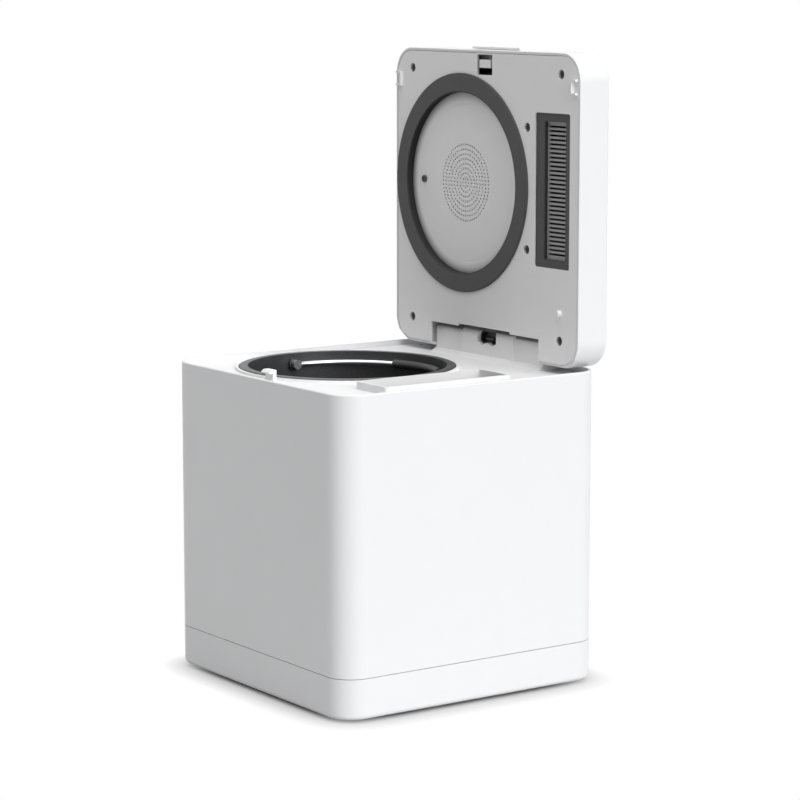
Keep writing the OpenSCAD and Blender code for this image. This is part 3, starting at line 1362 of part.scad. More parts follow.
outer_shell();
base_housing();
rubber_feet();
deck();
hinge_block();
cable_sleeve();
latch_striker();
heating_well();
heater_band();
thermal_sensor();
gearbox_case();
gearbox_cover();
shaft_bushes();
drive_motor();
filter_duct();
blower_case();
blower_motor();
exhaust_grille();
main_board();
power_inlet();
lid_sensor();
case_screws();
well_screws();
gearbox_screws();
output_gear();
drive_shaft();
idler_gear();
motor_pinion();
blower_wheel();
filter_frame();
filter_media();
bucket();
bucket_skirt();
bucket_bush();
bail_handle();
bail_grip();
stirrer();
driven_coupler();
lid_cover();
lid_inner_panel();
lid_gasket();
vent_dish();
vent_screen();
outlet_frame();
outlet_grille();
lid_duct();
lid_screws();
hinge_pins();
sensor_peg();
control_panel();
indicator_lenses();
display_board();
start_button();
release_bar();
latch_springs();
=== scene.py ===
# %% [markdown]
# # A countertop composter, dressed for its photograph
#
# The solids of the machine come from CAD: the cube-shaped housing, the lid that stands open,
# the bucket, the seal, the latch and everything behind them. They already have the right
# shape and place, so this notebook gives them what CAD can't hold: finishes, a few pieces
# whose surface is easier to work out with numpy, light, a floor and a camera.

# %% Load the solids
import json
import math

import bpy
import numpy as np
from mathutils import Matrix, Vector


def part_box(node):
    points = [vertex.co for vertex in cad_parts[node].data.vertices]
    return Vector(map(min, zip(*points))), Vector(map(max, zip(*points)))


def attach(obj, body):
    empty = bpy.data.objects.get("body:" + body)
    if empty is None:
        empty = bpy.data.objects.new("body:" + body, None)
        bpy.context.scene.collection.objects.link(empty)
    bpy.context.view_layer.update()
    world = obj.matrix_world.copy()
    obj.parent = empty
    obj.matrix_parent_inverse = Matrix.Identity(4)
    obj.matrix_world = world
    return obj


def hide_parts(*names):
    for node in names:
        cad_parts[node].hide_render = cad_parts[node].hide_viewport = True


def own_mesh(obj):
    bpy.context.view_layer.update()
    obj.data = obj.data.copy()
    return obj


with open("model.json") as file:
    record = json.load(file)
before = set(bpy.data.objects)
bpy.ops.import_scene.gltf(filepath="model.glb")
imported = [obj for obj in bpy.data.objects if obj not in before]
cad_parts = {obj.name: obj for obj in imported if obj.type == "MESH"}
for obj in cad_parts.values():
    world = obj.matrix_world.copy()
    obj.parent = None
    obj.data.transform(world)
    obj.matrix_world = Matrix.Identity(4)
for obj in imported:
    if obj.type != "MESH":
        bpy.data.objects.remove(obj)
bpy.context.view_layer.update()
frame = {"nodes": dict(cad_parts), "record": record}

nodes = frame["nodes"]

# %% [markdown]
# ## The camera
#
# The photograph was taken with a long lens from a little above the rim, so upright edges
# stay upright and the far edges shrink only slightly. A camera is a place and three
# directions. Its own Z axis points back along the view, so the azimuth and elevation of
# that one direction fix everything else, because the picture isn't rolled.

# %% Place the camera
AZIMUTH = math.radians(54.9146)
ELEVATION = math.radians(8.6555)
CAMERA_PLACE = Vector((2.11304, -1.46670, 0.64844))
FOCAL_PIXELS = 2820.6
PICTURE_PIXELS = 800
SENSOR = 36.0
FAR_CLIP = 50


def camera_axes(azimuth, elevation):
    """Right, up and back of a level camera: back is the azimuth turned about Z and then raised,
    right is level, and up is back crossed with right."""
    back = Vector((math.sin(azimuth) * math.cos(elevation),
                   -math.cos(azimuth) * math.cos(elevation), math.sin(elevation)))
    right = Vector((math.cos(azimuth), math.sin(azimuth), 0.0))
    return right, back.cross(right), back


camera_data = bpy.data.cameras.new("camera")
camera_data.sensor_width = SENSOR
camera_data.lens = FOCAL_PIXELS * SENSOR / PICTURE_PIXELS
camera_data.clip_end = FAR_CLIP
camera = bpy.data.objects.new("camera", camera_data)
bpy.context.scene.collection.objects.link(camera)
camera.matrix_world = (Matrix.Translation(CAMERA_PLACE)
                       @ Matrix(camera_axes(AZIMUTH, ELEVATION)).transposed().to_4x4())
bpy.context.scene.camera = camera
print("lens: %.1f mm" % camera_data.lens)

# %% [markdown]
# ## Writing materials as sums
#
# A finish is a set of numbers that change over a surface: how light it is, how rough, how
# it dips. Wiring each by hand with Math nodes hides the arithmetic, so one small class
# wraps a socket and lets Python's own operators add the nodes, and a second one holds the
# tree that they go to. `1 - mask * 0.2` is then two nodes, and reads as what it does.

# %% Sockets that can be added and multiplied
class Wire:
    """The output of a node. Arithmetic on it adds Math nodes to its tree."""

    def __init__(self, tree, socket):
        self.tree = tree
        self.socket = socket

    def _math(self, operation, first, second, clamp=False):
        settings = {"operation": operation, "use_clamp": clamp}
        return self.tree.node("ShaderNodeMath", settings, {0: first, 1: second})

    def __add__(self, other):
        return self._math("ADD", self, other)

    def __sub__(self, other):
        return self._math("SUBTRACT", self, other)

    def __rsub__(self, other):
        return self._math("SUBTRACT", other, self)

    def __mul__(self, other):
        return self._math("MULTIPLY", self, other)

    def __pow__(self, other):
        return self._math("POWER", self, other)

    __radd__ = __add__
    __rmul__ = __mul__

    def above(self, level, sharpness):
        """0 below level and 1 above it, over a ramp of 1 / sharpness."""
        return self._math("MULTIPLY", self - level, sharpness, clamp=True)

    def apart(self, other):
        """The size of the difference, without its sign."""
        return self._math("ABSOLUTE", self - other, 0.0)


class Tree:
    """A node tree, of a material or of the world, which grows by one node at a time."""

    def __init__(self, owner):
        owner.use_nodes = True
        self.nodes = owner.node_tree.nodes
        self.links = owner.node_tree.links

    def node(self, kind, settings=None, sockets=None, out=0):
        """Adds one node: its settings first, then the values or wires of its sockets."""
        made = self.nodes.new(kind)
        for label, value in (settings or {}).items():
            setattr(made, label, value)
        for label, value in (sockets or {}).items():
            if isinstance(value, Wire):
                self.links.new(value.socket, made.inputs[label])
            else:
                made.inputs[label].default_value = value
        return Wire(self, made.outputs[out])


# %% [markdown]
# A recipe is one material. It starts as the standard Principled shader with its fixed
# sockets set directly, and then only colour, roughness and relief are wired. All patterns
# are laid out in Object coordinates, which are metres here, so a noise scale of 1000 makes
# grains one millimetre across. Every recipe is kept by its name, for the parts and pieces
# that ask for it.

# %% One material under construction
MILLIMETRE = 0.001
finishes = {}


class Recipe(Tree):
    """A material: Principled shader, plus whatever nodes its finish asks for."""

    def __init__(self, name, colour, roughness, **fixed):
        self.material = finishes[name] = bpy.data.materials.new(name)
        super().__init__(self.material)
        self.shader = self.nodes["Principled BSDF"]
        self.colour = (*colour, 1.0)
        self.relief = None
        self.shader.inputs["Base Color"].default_value = self.colour
        self.shader.inputs["Roughness"].default_value = roughness
        for label, value in fixed.items():
            self.shader.inputs[label.replace("_", " ")].default_value = value
        self.place = self.node("ShaderNodeTexCoord", out="Object")

    def feed(self, label, wire):
        """Wires a socket of the shader."""
        self.links.new(wire.socket, self.shader.inputs[label])

    def stretched(self, x, y, z):
        """The coordinates squeezed along each axis, so that a pattern runs long the other way."""
        return self.node("ShaderNodeMapping", {"vector_type": "POINT"},
                         {"Vector": self.place, "Scale": (x, y, z)})

    def noise(self, scale, detail, place=None):
        """Soft random levels about one half, with features 1 / scale metres across."""
        return self.node("ShaderNodeTexNoise", {"noise_dimensions": "3D"},
                         {"Vector": place or self.place, "Scale": scale, "Detail": detail})

    def cells(self, scale, feature="F1"):
        """Distance to the nearest of a set of scattered points, as in a foam or a grain."""
        return self.node("ShaderNodeTexVoronoi", {"feature": feature},
                         {"Vector": self.place, "Scale": scale}, out="Distance")

    def axis(self, label):
        """The X, Y or Z of the point that is shaded, in metres."""
        return self.node("ShaderNodeSeparateXYZ", {}, {0: self.place}, out=label)

    def tint(self, mask, colour):
        """Lays another colour over what the recipe's colour is by now, where the mask is 1."""
        self.colour = self.node("ShaderNodeMix", {"data_type": "RGBA"},
                                {0: mask, 6: self.colour, 7: (*colour, 1.0)}, out=2)
        self.feed("Base Color", self.colour)

    def rough(self, middle, swing, level):
        """Roughness that swings about its middle as the level goes from 0 to 1."""
        self.feed("Roughness", middle - swing / 2 + swing * level)

    def emboss(self, height, depth):
        """Relief: height is about 0 to 1, and depth is what 1 stands for in metres."""
        sockets = {"Height": height, "Distance": depth, "Strength": 1.0}
        if self.relief:
            sockets["Normal"] = self.relief
        self.relief = self.node("ShaderNodeBump", {}, sockets)
        self.feed("Normal", self.relief)


def dimmed(colour, share):
    """A share of a colour's light."""
    return tuple(channel * share for channel in colour)


# %% [markdown]
# ## Moulded white plastic
#
# The housing and the lid are injection moulded. The steel mould was spark-textured, which
# leaves a grain finer than half a millimetre that breaks up reflections, and wide faces
# are never quite flat: they sink by hundredths of a millimetre between the ribs behind
# them. So there is one very fine relief, one very wide one, and a roughness that drifts.

# %% White and pale plastics
SPARK_GRAIN = 1400
SINK_MARKS = 14
HANDLED_PATCHES = 45
PANEL_PALE = (0.90, 0.895, 0.895)


def moulded(name, colour, roughness, grain=0.012, wave=0.05, shade=0.97, **fixed):
    """Fine spark grain, wide sink marks and a slightly uneven gloss. Grain and wave are depths
    in millimetres, and shade is the share of the colour that handled patches keep."""
    recipe = Recipe(name, colour, roughness, **fixed)
    handled = recipe.noise(HANDLED_PATCHES, detail=4.0)
    recipe.emboss(recipe.noise(SINK_MARKS, detail=1.0), wave * MILLIMETRE)
    recipe.emboss(recipe.noise(SPARK_GRAIN, detail=3.0), grain * MILLIMETRE)
    recipe.rough(roughness, 0.10, handled)
    recipe.tint(handled.above(0.45, sharpness=3.0), dimmed(colour, shade))
    return recipe


def matt(name, colour, roughness):
    """The moulded finish of inner parts, with a deeper grain and hardly any handling."""
    return moulded(name, colour, roughness, grain=0.02, wave=0.02, shade=0.985)


moulded("white_housing", (0.765, 0.77, 0.78), 0.36, wave=0.02, shade=0.99,
        Coat_Weight=0.10, Coat_Roughness=0.30)
matt("pale_panel", PANEL_PALE, 0.52)
moulded("hinge_white", (0.89, 0.89, 0.89), 0.42)
moulded("button_silver", (0.58, 0.58, 0.59), 0.35, grain=0.006)
moulded("lens_clear", (0.78, 0.82, 0.79), 0.25, grain=0.004, Subsurface_Weight=0.3)
print("plastics:", sorted(finishes))

# %% [markdown]
# ## Rubber and the other plastics
#
# Silicone rubber is softer to the eye than plastic: it is rougher, its grain is coarser,
# and it picks up pale dust that a wipe leaves in small drifts. The dust is a mask of
# scattered cells, kept only where a wider noise is high.

# %% Seals and other mouldings
SEAL_BLACK = (0.060, 0.060, 0.062)
LOUVRE_GREY = (0.36, 0.36, 0.365)
DUST = (0.25, 0.25, 0.245)
DUST_SHARE = 0.5


def rubber(name, colour):
    """Dark silicone with a matt grain and a little pale dust."""
    recipe = Recipe(name, colour, 0.64)
    drift = recipe.noise(60, detail=3.0).above(0.52, sharpness=5.0)
    specks = 1 - recipe.cells(900).above(0.16, sharpness=12.0)
    recipe.tint(drift * specks * DUST_SHARE, DUST)
    recipe.rough(0.64, 0.12, recipe.noise(300, detail=3.0))
    recipe.emboss(recipe.noise(900, detail=4.0), 0.03 * MILLIMETRE)
    return recipe


rubber("seal_rubber", SEAL_BLACK)
rubber("frame_rubber", (0.058, 0.058, 0.060))
rubber("foot_rubber", (0.085, 0.085, 0.085))
moulded("black_plastic", (0.018, 0.018, 0.019), 0.45, grain=0.02, shade=1.25)
moulded("louvre_grey", LOUVRE_GREY, 0.48, grain=0.02, shade=0.93)
moulded("panel_smoke", (0.075, 0.075, 0.08), 0.18, grain=0.002, Coat_Weight=0.6)
moulded("duct_plastic", (0.10, 0.10, 0.105), 0.5, shade=0.92)
moulded("gear_nylon", (0.74, 0.70, 0.58), 0.42, shade=0.93)
print("finishes so far:", len(finishes))

# %% [markdown]
# ## The bucket's coating
#
# The bucket is pressed aluminium under a dark non-stick coating. The coating is sprayed,
# so it has a fine orange peel, and fine pale flecks are part of it. The steel parts beside
# it are brushed round and round: a noise that is squeezed along Z gives rings on anything
# that was turned about an upright axis.

# %% Coated, brushed and cast metals
def coated(name, colour, fleck):
    """Sprayed non-stick: orange peel, pale flecks and an even satin gloss."""
    recipe = Recipe(name, colour, 0.40, Metallic=0.25)
    flecks = 1 - recipe.cells(420).above(0.12, sharpness=16.0)
    recipe.tint(flecks * 0.55, fleck)
    recipe.rough(0.40, 0.14, recipe.noise(90, detail=3.0))
    recipe.emboss(recipe.noise(520, detail=2.0), 0.035 * MILLIMETRE)


TURNED = (1, 1, 40)
UPRIGHT = (40, 40, 1)


def brushed(name, colour, roughness, squeeze=TURNED):
    """Bare metal with fine parallel lines, which run across the squeezed axis."""
    recipe = Recipe(name, colour, roughness, Metallic=1.0)
    lines = recipe.noise(90, detail=6.0, place=recipe.stretched(*squeeze))
    recipe.rough(roughness, 0.16, lines)
    recipe.emboss(lines, 0.012 * MILLIMETRE)
    recipe.tint(lines.above(0.4, sharpness=3.0) * 0.5, dimmed(colour, 0.82))
    return recipe


def cast(name, colour, roughness, metallic):
    """A sand- or die-cast skin: coarse rounded grain with shallow pits."""
    recipe = Recipe(name, colour, roughness, Metallic=metallic)
    grain = recipe.noise(450, detail=4.0)
    pits = recipe.cells(700).above(0.1, sharpness=6.0)
    recipe.emboss(grain * pits, 0.06 * MILLIMETRE)
    recipe.rough(roughness, 0.16, grain)
    recipe.tint(1 - pits, dimmed(colour, 0.7))


coated("dark_coated", (0.050, 0.051, 0.054), (0.20, 0.20, 0.205))
coated("stirrer_coated", (0.085, 0.085, 0.09), (0.24, 0.24, 0.245))
brushed("bright_steel", (0.62, 0.62, 0.615), 0.30)
brushed("well_aluminium", (0.70, 0.71, 0.72), 0.36)
brushed("heater_mica", (0.55, 0.48, 0.36), 0.45)
brushed("bronze_bush", (0.60, 0.42, 0.21), 0.38)
brushed("screw_steel", (0.52, 0.52, 0.52), 0.32, UPRIGHT)
cast("gearbox_zinc", (0.42, 0.43, 0.44), 0.5, 0.9)
cast("motor_steel", (0.09, 0.095, 0.10), 0.45, 0.4)
print("finishes so far:", len(finishes))

# %% [markdown]
# ## The charcoal and the circuit boards
#
# The filter's pad is a felt of black fibres with charcoal grains in it, so it is very
# rough, deeply textured and never one black. A circuit board is glossy lacquer over copper
# tracks, which show as a slightly raised, slightly lighter net.

# %% Felt and lacquer
charcoal = Recipe("filter_carbon", (0.016, 0.016, 0.017), 0.9, Sheen_Weight=0.25)
grains = charcoal.cells(420)
charcoal.tint(grains.above(0.35, sharpness=3.0), (0.045, 0.045, 0.047))
charcoal.emboss(grains, 0.5 * MILLIMETRE)
charcoal.emboss(charcoal.noise(1500, detail=5.0), 0.15 * MILLIMETRE)

board = Recipe("board_green", (0.02, 0.11, 0.05), 0.28, Coat_Weight=0.5)
tracks = board.cells(160, "DISTANCE_TO_EDGE").above(0.1, sharpness=20.0)
board.tint(tracks, (0.03, 0.17, 0.07))
board.emboss(tracks, 0.05 * MILLIMETRE)
board.rough(0.29, 0.10, board.noise(200, detail=2.0))
print("finishes:", len(finishes))

# %% [markdown]
# Each solid names the slot that its finish fills, so handing the finishes out is one loop.

# %% A finish for every solid
for part in frame["record"]["subparts"]:
    solid = nodes[part["node"]]
    solid.data.materials.clear()
    solid.data.materials.append(finishes[part["material_slot"]])
print("solids with a finish:", sum(1 for solid in nodes.values() if solid.data.materials))

# %% [markdown]
# ## Painted shade on the white parts
#
# Five places have shade painted into their colour, darker where less light would reach.
# The pale dish in the lid meets a dark rubber seal, and the corner between them gets a
# painted shadow band about a centimetre wide. The seal's inner wall is painted nearly black
# as shade, and so are the walls of the air outlet's recess, down to the louvres. The cups of
# the panel's screws get painted shade that deepens with their depth. The lid turns round the
# hinge block with a narrow gap, and the front of its barrels is painted dark there as the
# gap's shade. All are masks of a distance: from the dish's middle, from the recess's floor,
# from the panel's face, or below the top of a barrel. A steep mask is one that turns from 0
# to 1 within a tenth of a millimetre.

# %% Painted shade at the dish's edge and on the seal's inner wall
PAINTED_SHADE = (0.10, 0.10, 0.10)
NEARLY_BLACK = (0.006, 0.006, 0.006)
SEAL_MOUTH = 85.5 * MILLIMETRE
SEAL_WALL = 0.7 * MILLIMETRE
DISH_BAND = 9.5 * MILLIMETRE
DISH_SHADE = 0.8
DISH_CURVE = 1.5


def own_finish(node, recipe):
    """Gives one solid a finish that no other solid of its slot has, and passes it on."""
    nodes[node].data.materials[0] = recipe.material
    return recipe


def reach_from(recipe, middle):
    """Distance from an axis along Y through the middle: the root of two squares."""
    sideways = recipe.axis("X").apart(middle.x) ** 2.0
    upwards = recipe.axis("Z").apart(middle.z) ** 2.0
    return (sideways + upwards) ** 0.5


dish_low, dish_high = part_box("vent_dish")
dish_middle = (dish_low + dish_high) / 2
# The dish's white is a touch lighter than the panel's, a painted lift against the shade of its
# recess, and towards the seal a painted shadow band darkens it.
dish = own_finish("vent_dish", matt("dish_white", (0.93, 0.925, 0.925), 0.50))
dish_shade_mask = reach_from(dish, dish_middle).above(SEAL_MOUTH - DISH_BAND, 1 / DISH_BAND)
dish.tint(dish_shade_mask ** DISH_CURVE * DISH_SHADE, PAINTED_SHADE)

# Painted shade: the seal's inner wall is painted nearly black, darker than its own rubber.
seal = own_finish("lid_gasket", rubber("seal_wall_rubber", SEAL_BLACK))
seal_wall = 1 - reach_from(seal, dish_middle).above(SEAL_MOUTH + SEAL_WALL, 1 / SEAL_WALL)
seal.tint(seal_wall, NEARLY_BLACK)
print("dish band from %.1f mm" % ((SEAL_MOUTH - DISH_BAND) / MILLIMETRE))

# %% Painted shade on the walls of the outlet's recess
RECESS = 3.3 * MILLIMETRE
RECESS_FADE = 0.1 * MILLIMETRE
RECESS_SHADE = (0.028, 0.028, 0.029)

grille = own_finish("outlet_grille", moulded("grille_grey", LOUVRE_GREY, 0.48, grain=0.02,
                                             shade=0.93))
recess_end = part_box("outlet_grille")[0].y + RECESS
# Painted shade: the recess walls, short of its floor, are painted nearly black.
recess_wall_shade = 1 - grille.axis("Y").above(recess_end, 1 / RECESS_FADE)
grille.tint(recess_wall_shade, RECESS_SHADE)
print("recess walls end at y = %.4f" % recess_end)

# %% Painted shade in the screw cups of the inner panel
CUP_FROM = 0.5 * MILLIMETRE
CUP_FADE = 2.5 * MILLIMETRE
CUP_SHADE = 0.7

lid_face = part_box("lid_cover")[0].y
panel = own_finish("lid_inner_panel", matt("panel_white", PANEL_PALE, 0.52))
# Painted shade: the panel darkens with depth behind its face, inside the screw cups.
panel.tint(panel.axis("Y").above(lid_face + CUP_FROM, 1 / CUP_FADE) * CUP_SHADE, PAINTED_SHADE)
print("the lid's inner face is at y = %.4f" % lid_face)

# %% Painted gap shade on the barrels of the hinge block
BARREL_BAND = 4.9 * MILLIMETRE
BARREL_FADE = 1.6 * MILLIMETRE
BARREL_STEP = 2.1 * MILLIMETRE
BARREL_SHADE = 0.8
MIDDLE_BARREL_HALF = 40 * MILLIMETRE
STEEP = 10000.0

block_low, block_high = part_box("hinge_block")
barrel_middle = (block_low.y + block_high.y) / 2
block = own_finish("hinge_block", moulded("block_white", (0.90, 0.90, 0.90), 0.42))
outer_barrel = block.axis("X").apart(0.0).above(MIDDLE_BARREL_HALF, STEEP)
in_front = 1 - block.axis("Y").above(barrel_middle, STEEP)
below_top = block.axis("Z") - (block_high.z - outer_barrel * BARREL_STEP)
near_top = below_top.above(-BARREL_BAND, 1 / BARREL_FADE)
# Painted shade: the barrels' fronts darken just below their tops, where the lid's turning gap
# would shade them.
block.tint(near_top * in_front * BARREL_SHADE, PAINTED_SHADE)
print("barrels darkened over %.1f mm" % (BARREL_BAND / MILLIMETRE))

# %% [markdown]
# Two more parts leave their slot's finish. The lid's screws are a near-black steel, painted
# shade for the floors of their cups, unlike the bright ones inside, and the deck, which faces
# the light from above, is painted a little greyer than the panel over it against that light.

# %% The lid's screws and the deck
# Painted shade: the lid's screws are near-black, standing for the shade in their cups.
own_finish("lid_screws", brushed("screw_shade_steel", (0.075, 0.075, 0.078), 0.5, UPRIGHT))
# The deck is a greyer copy of the panel's white, darkened against the light from above.
own_finish("deck", matt("deck_white", (0.82, 0.82, 0.825), 0.48))
print("finishes in all:", len(finishes))

# %% [markdown]
# ## Surfaces from numpy
#
# The new pieces below are grids: a function of two numbers gives the place of every point,
# and four neighbours on the grid make a face. The same few lines number the faces of any
# such grid, joined to itself in either direction. Where a grid ends, its piece adds one
# flat face as a cap, so that every mesh is closed.

# %% A grid of points as a mesh
def grid_faces(rows, columns, wrap_rows, wrap_columns):
    """Quads between neighbouring points, numbered row by row, as one array."""
    i = np.arange(rows if wrap_rows else rows - 1)[:, None]
    j = np.arange(columns if wrap_columns else columns - 1)[None, :]
    i_next, j_next = (i + 1) % rows, (j + 1) % columns
    corners = np.broadcast_arrays(i * columns + j, i * columns + j_next,
                                  i_next * columns + j_next, i_next * columns + j)
    return np.stack(corners, axis=-1).reshape(-1, 4)


def mesh_object(name, points, faces):
    """A mesh from an array of points and lists of corners, placed in the scene."""
    mesh = bpy.data.meshes.new(name)
    mesh.from_pydata(points.reshape(-1, 3).tolist(), [],
                     [[int(corner) for corner in face] for face in faces])
    made = bpy.data.objects.new(name, mesh)
    bpy.context.scene.collection.objects.link(made)
    return made


def piece(name, points, faces, finish, body):
    """A smooth-shaded mesh with a finish, which rides on its body."""
    made = mesh_object(name, points, faces)
    mesh = made.data
    mesh.validate()
    mesh.shade_smooth()
    mesh.materials.append(finishes[finish])
    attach(made, body)
    print(name, "faces:", len(mesh.polygons))
    return made


# %% [markdown]
# ## The latch springs
#
# Two small coil springs push the release bar back. A coil is a circle carried along a
# helix: the path climbs at a steady rate, and flattens into closed end turns as a real
# compression spring does, so that it stands square on its seat. The share of their length
# that the springs would keep when the bar is pulled is worked out from the bar's travel.

# %% Coil springs
def coil(low, high, radius, wire, turns, around=10, per_turn=24):
    """A helix (r cos t, r sin t, z) between two heights. The first and the last turn climb by
    one wire's thickness, so they lie closed, and the turns between share what is left. Each
    ring of points is path + wire / 2 (cos a outward + sin a across), at right angles to it."""
    count = int(turns * per_turn) + 1
    turn = np.linspace(0, turns, count)
    climb = np.clip(turn - 1, 0, turns - 2) / (turns - 2)
    rise = wire * np.clip(turn, 0, 1) + wire * np.clip(turn - turns + 1, 0, 1)
    height = low + wire / 2 + rise + climb * (high - low - 3 * wire)
    angle = 2 * np.pi * turn
    path = np.stack([radius * np.cos(angle), radius * np.sin(angle), height], axis=-1)
    ahead = np.gradient(path, axis=0)
    ahead /= np.linalg.norm(ahead, axis=1, keepdims=True)
    outward = np.stack([np.cos(angle), np.sin(angle), np.zeros(count)], axis=-1)
    across = np.cross(ahead, outward)
    ring = np.linspace(0, 2 * np.pi, around, endpoint=False)
    return (path[:, None] + wire / 2 * (np.cos(ring)[None, :, None] * outward[:, None]
                                        + np.sin(ring)[None, :, None] * across[:, None]))


WIRE = 0.8 * MILLIMETRE
TURNS = 7.0

low_corner, high_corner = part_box("latch_springs")
spring_radius = (high_corner.y - low_corner.y) / 2
spring_y = (high_corner.y + low_corner.y) / 2
springs, spring_faces, start = [], [], 0
for side_x in (low_corner.x + spring_radius, high_corner.x - spring_radius):
    rings = coil(low_corner.z, high_corner.z, spring_radius - WIRE / 2, WIRE, TURNS)
    rings = rings + np.array([side_x, spring_y, 0])
    rows, around = rings.shape[:2]
    end = start + rows * around
    spring_faces += list(start + grid_faces(rows, around, False, True))
    spring_faces += [range(start + around - 1, start - 1, -1), range(end - around, end)]
    springs.append(rings.reshape(-1, 3))
    start = end
latch_coils = piece("latch_coils", np.concatenate(springs), spring_faces, "bright_steel", "lid")
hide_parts("latch_springs")

pull = next(joint for joint in frame["record"]["behaviour"]["joints"]
            if joint["name"] == "release_slide")["range_m"][1]
shortened = 1 - pull / (high_corner.z - low_corner.z)
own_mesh(latch_coils)
print("springs shorten to %.0f%% of their length" % (100 * shortened))

# %% [markdown]
# ## The charcoal pad
#
# Behind the bars of the filter cartridge lies a pad of black felt with charcoal sewn into
# it. It is softer than a block: its corners are round, and rows of stitches pull the felt in,
# so that its faces swell between them. Each loop of points below is a rounded rectangle at
# one height. The loops grow over the bottom face, turn round its edge, climb the wall and
# close over the top in the same way.

# %% Charcoal pad
def rounded_loop(half_x, half_y, power, count):
    """A superellipse, |x/a|^p + |y/b|^p = 1, walked by an angle. It is a rectangle with soft
    corners."""
    angle = np.linspace(0, 2 * np.pi, count, endpoint=False)
    cosine, sine = np.cos(angle), np.sin(angle)
    return np.stack([half_x * np.sign(cosine) * np.abs(cosine) ** (2 / power),
                     half_y * np.sign(sine) * np.abs(sine) ** (2 / power)], axis=-1)


def stitched(y, pitch):
    """1 on the crown between two rows of stitches and 0 on a row: the root of the size of
    sin(pi y / pitch)."""
    return np.sqrt(np.abs(np.sin(np.pi * y / pitch)))


PAD_EDGE = 4 * MILLIMETRE
PAD_DIP = 1.6 * MILLIMETRE
PAD_SQUARENESS = 9.0
STITCHED_STRIPS = 9
FACE_LOOPS = (0.04, 0.25, 0.5, 0.75, 0.9)
EDGE_LOOPS = 5
WALL_LOOPS = 9
WALL_REACH = 0.8
WALL_DIP = 0.8
AROUND_PAD = 160

pad_low, pad_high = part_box("filter_media")
pad_middle = (pad_low + pad_high) / 2
pad_half = (pad_high - pad_low) / 2
pitch = 2 * pad_half.y / STITCHED_STRIPS
loops = [(scale, scale, -pad_half.z) for scale in FACE_LOOPS]
for bend in np.linspace(0, np.pi / 2, EDGE_LOOPS):
    inward = PAD_EDGE * (1 - math.sin(bend))
    loops.append((1 - inward / pad_half.x, 1 - inward / pad_half.y,
                  -pad_half.z + PAD_EDGE * (1 - math.cos(bend))))
wall = [(1, 1, z) for z in np.linspace(-WALL_REACH, WALL_REACH, WALL_LOOPS) * pad_half.z]
loops = loops + wall + [(x, y, -z) for x, y, z in reversed(loops)]

pad_rows = []
for scale_x, scale_y, level in loops:
    flat = rounded_loop(pad_half.x * scale_x, pad_half.y * scale_y, PAD_SQUARENESS, AROUND_PAD)
    dip = PAD_DIP * (1 - stitched(flat[:, 1] + pad_half.y, pitch))
    on_face = np.clip(abs(level) / pad_half.z * 6 - 5, 0, 1)    # 1 on a face, 0 on the wall
    height = level - np.sign(level) * dip * on_face
    narrower = 1 - (1 - on_face) * dip / pad_half.x * WALL_DIP
    pad_rows.append(np.column_stack([flat[:, 0] * narrower, flat[:, 1], height]))
pad_points = np.array(pad_rows) + np.array(pad_middle)
last = len(loops) * AROUND_PAD - 1
pad_faces = list(grid_faces(len(loops), AROUND_PAD, False, True)[:, ::-1])
pad_faces += [range(AROUND_PAD), range(last, last - AROUND_PAD, -1)]
charcoal_pad = piece("charcoal_pad", pad_points, pad_faces, "filter_carbon", "filter")
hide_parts("filter_media")

# %% [markdown]
# ## The floor and the background
#
# The machine was photographed on white. The floor is an ordinary grey surface close to the
# machine, where it takes the shadow, and fades into plain white away from it. Only rays
# that the camera, a reflection or a clear part sees get that white, so it adds no light to
# the object.

# %% Floor that fades into white
def background_ray(tree):
    """1 for rays from the camera and those that a gloss or a clear part sends on."""
    seen = [tree.node("ShaderNodeLightPath", out=label)
            for label in ("Is Camera Ray", "Is Glossy Ray", "Is Transmission Ray")]
    return (seen[0] + seen[1] + seen[2]).above(0.0, sharpness=1.0)


FLOOR_HALF = 6.0
FADE_FROM = 0.134
FADE_WIDTH = 0.035
FADE_SQUARENESS = 6.0
WHITE = (1, 1, 1, 1)

span = np.array([-FLOOR_HALF, FLOOR_HALF])
floor_points = np.stack(np.meshgrid(span, span, [0.0], indexing="ij"), axis=-1)
floor = mesh_object("floor", floor_points, grid_faces(2, 2, False, False)[:, ::-1])

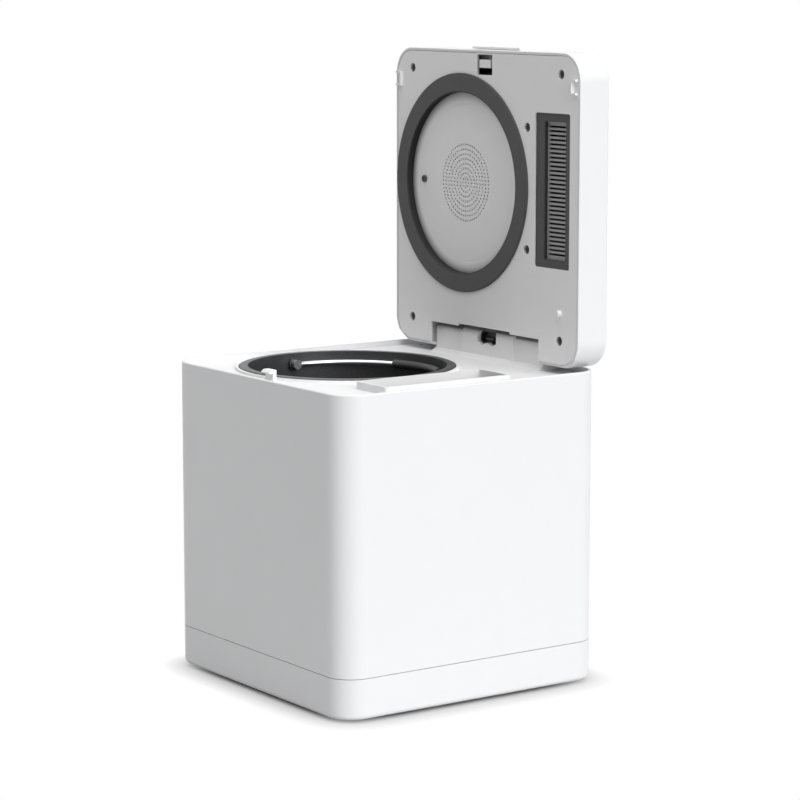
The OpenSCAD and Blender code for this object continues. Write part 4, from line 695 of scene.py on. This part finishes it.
ground = Recipe("floor", (0.50, 0.50, 0.50), 0.7)
across = ground.axis("X").apart(0.0) ** FADE_SQUARENESS
along = ground.axis("Y").apart(0.0) ** FADE_SQUARENESS
from_middle = (across + along) ** (1 / FADE_SQUARENESS)
fade = from_middle.above(FADE_FROM, 1 / FADE_WIDTH)
white = ground.node("ShaderNodeEmission", {}, {"Color": WHITE, "Strength": 1.0})
lit = Wire(ground, ground.shader.outputs[0])
seen_floor = ground.node("ShaderNodeMixShader", {},
                         {0: fade * background_ray(ground), 1: lit, 2: white})
ground.links.new(seen_floor.socket, ground.nodes["Material Output"].inputs["Surface"])
floor.data.materials.append(ground.material)
print("the floor is white from %.0f mm" % ((FADE_FROM + FADE_WIDTH) / MILLIMETRE))

# %% [markdown]
# The world is the same trick without a surface: it gives the object a faint grey light, and
# the same three kinds of ray see it white.

# %% World
AMBIENT = 0.10

world = bpy.data.worlds.new("studio")
bpy.context.scene.world = world
studio = Tree(world)
sky = studio.nodes["Background"]
sky.inputs["Color"].default_value = WHITE
strength = AMBIENT + (1 - AMBIENT) * background_ray(studio)
studio.links.new(strength.socket, sky.inputs["Strength"])
print("ambient light: %.2f" % AMBIENT)

# %% [markdown]
# ## The light
#
# One broad light stands to the right and a little above, so the right side of the machine
# is almost white and its front stays grey. A second, still broader one hangs overhead and
# lifts the deck, the lid's inner face and the front. A sun lamp with a very wide disc gives
# the same light everywhere and shadows with soft edges, as a large softbox does.

# %% Two soft lamps
def soft_sun(name, direction, strength, spread):
    """A sun that stands in a direction from the object, with a disc this many degrees wide."""
    data = bpy.data.lights.new(name, "SUN")
    data.energy = strength
    data.angle = math.radians(spread)
    lamp = bpy.data.objects.new(name, data)
    bpy.context.scene.collection.objects.link(lamp)
    lamp.matrix_world = Vector(direction).to_track_quat("Z", "Y").to_matrix().to_4x4()


soft_sun("key", (0.90, 0.12, 0.42), 2.32, 45)
soft_sun("overhead", (0.10, -0.12, 1.0), 2.2, 80)
print("lamps:", len(bpy.data.lights))

# %% The standard view transform
bpy.context.scene.view_settings.view_transform = "Standard"
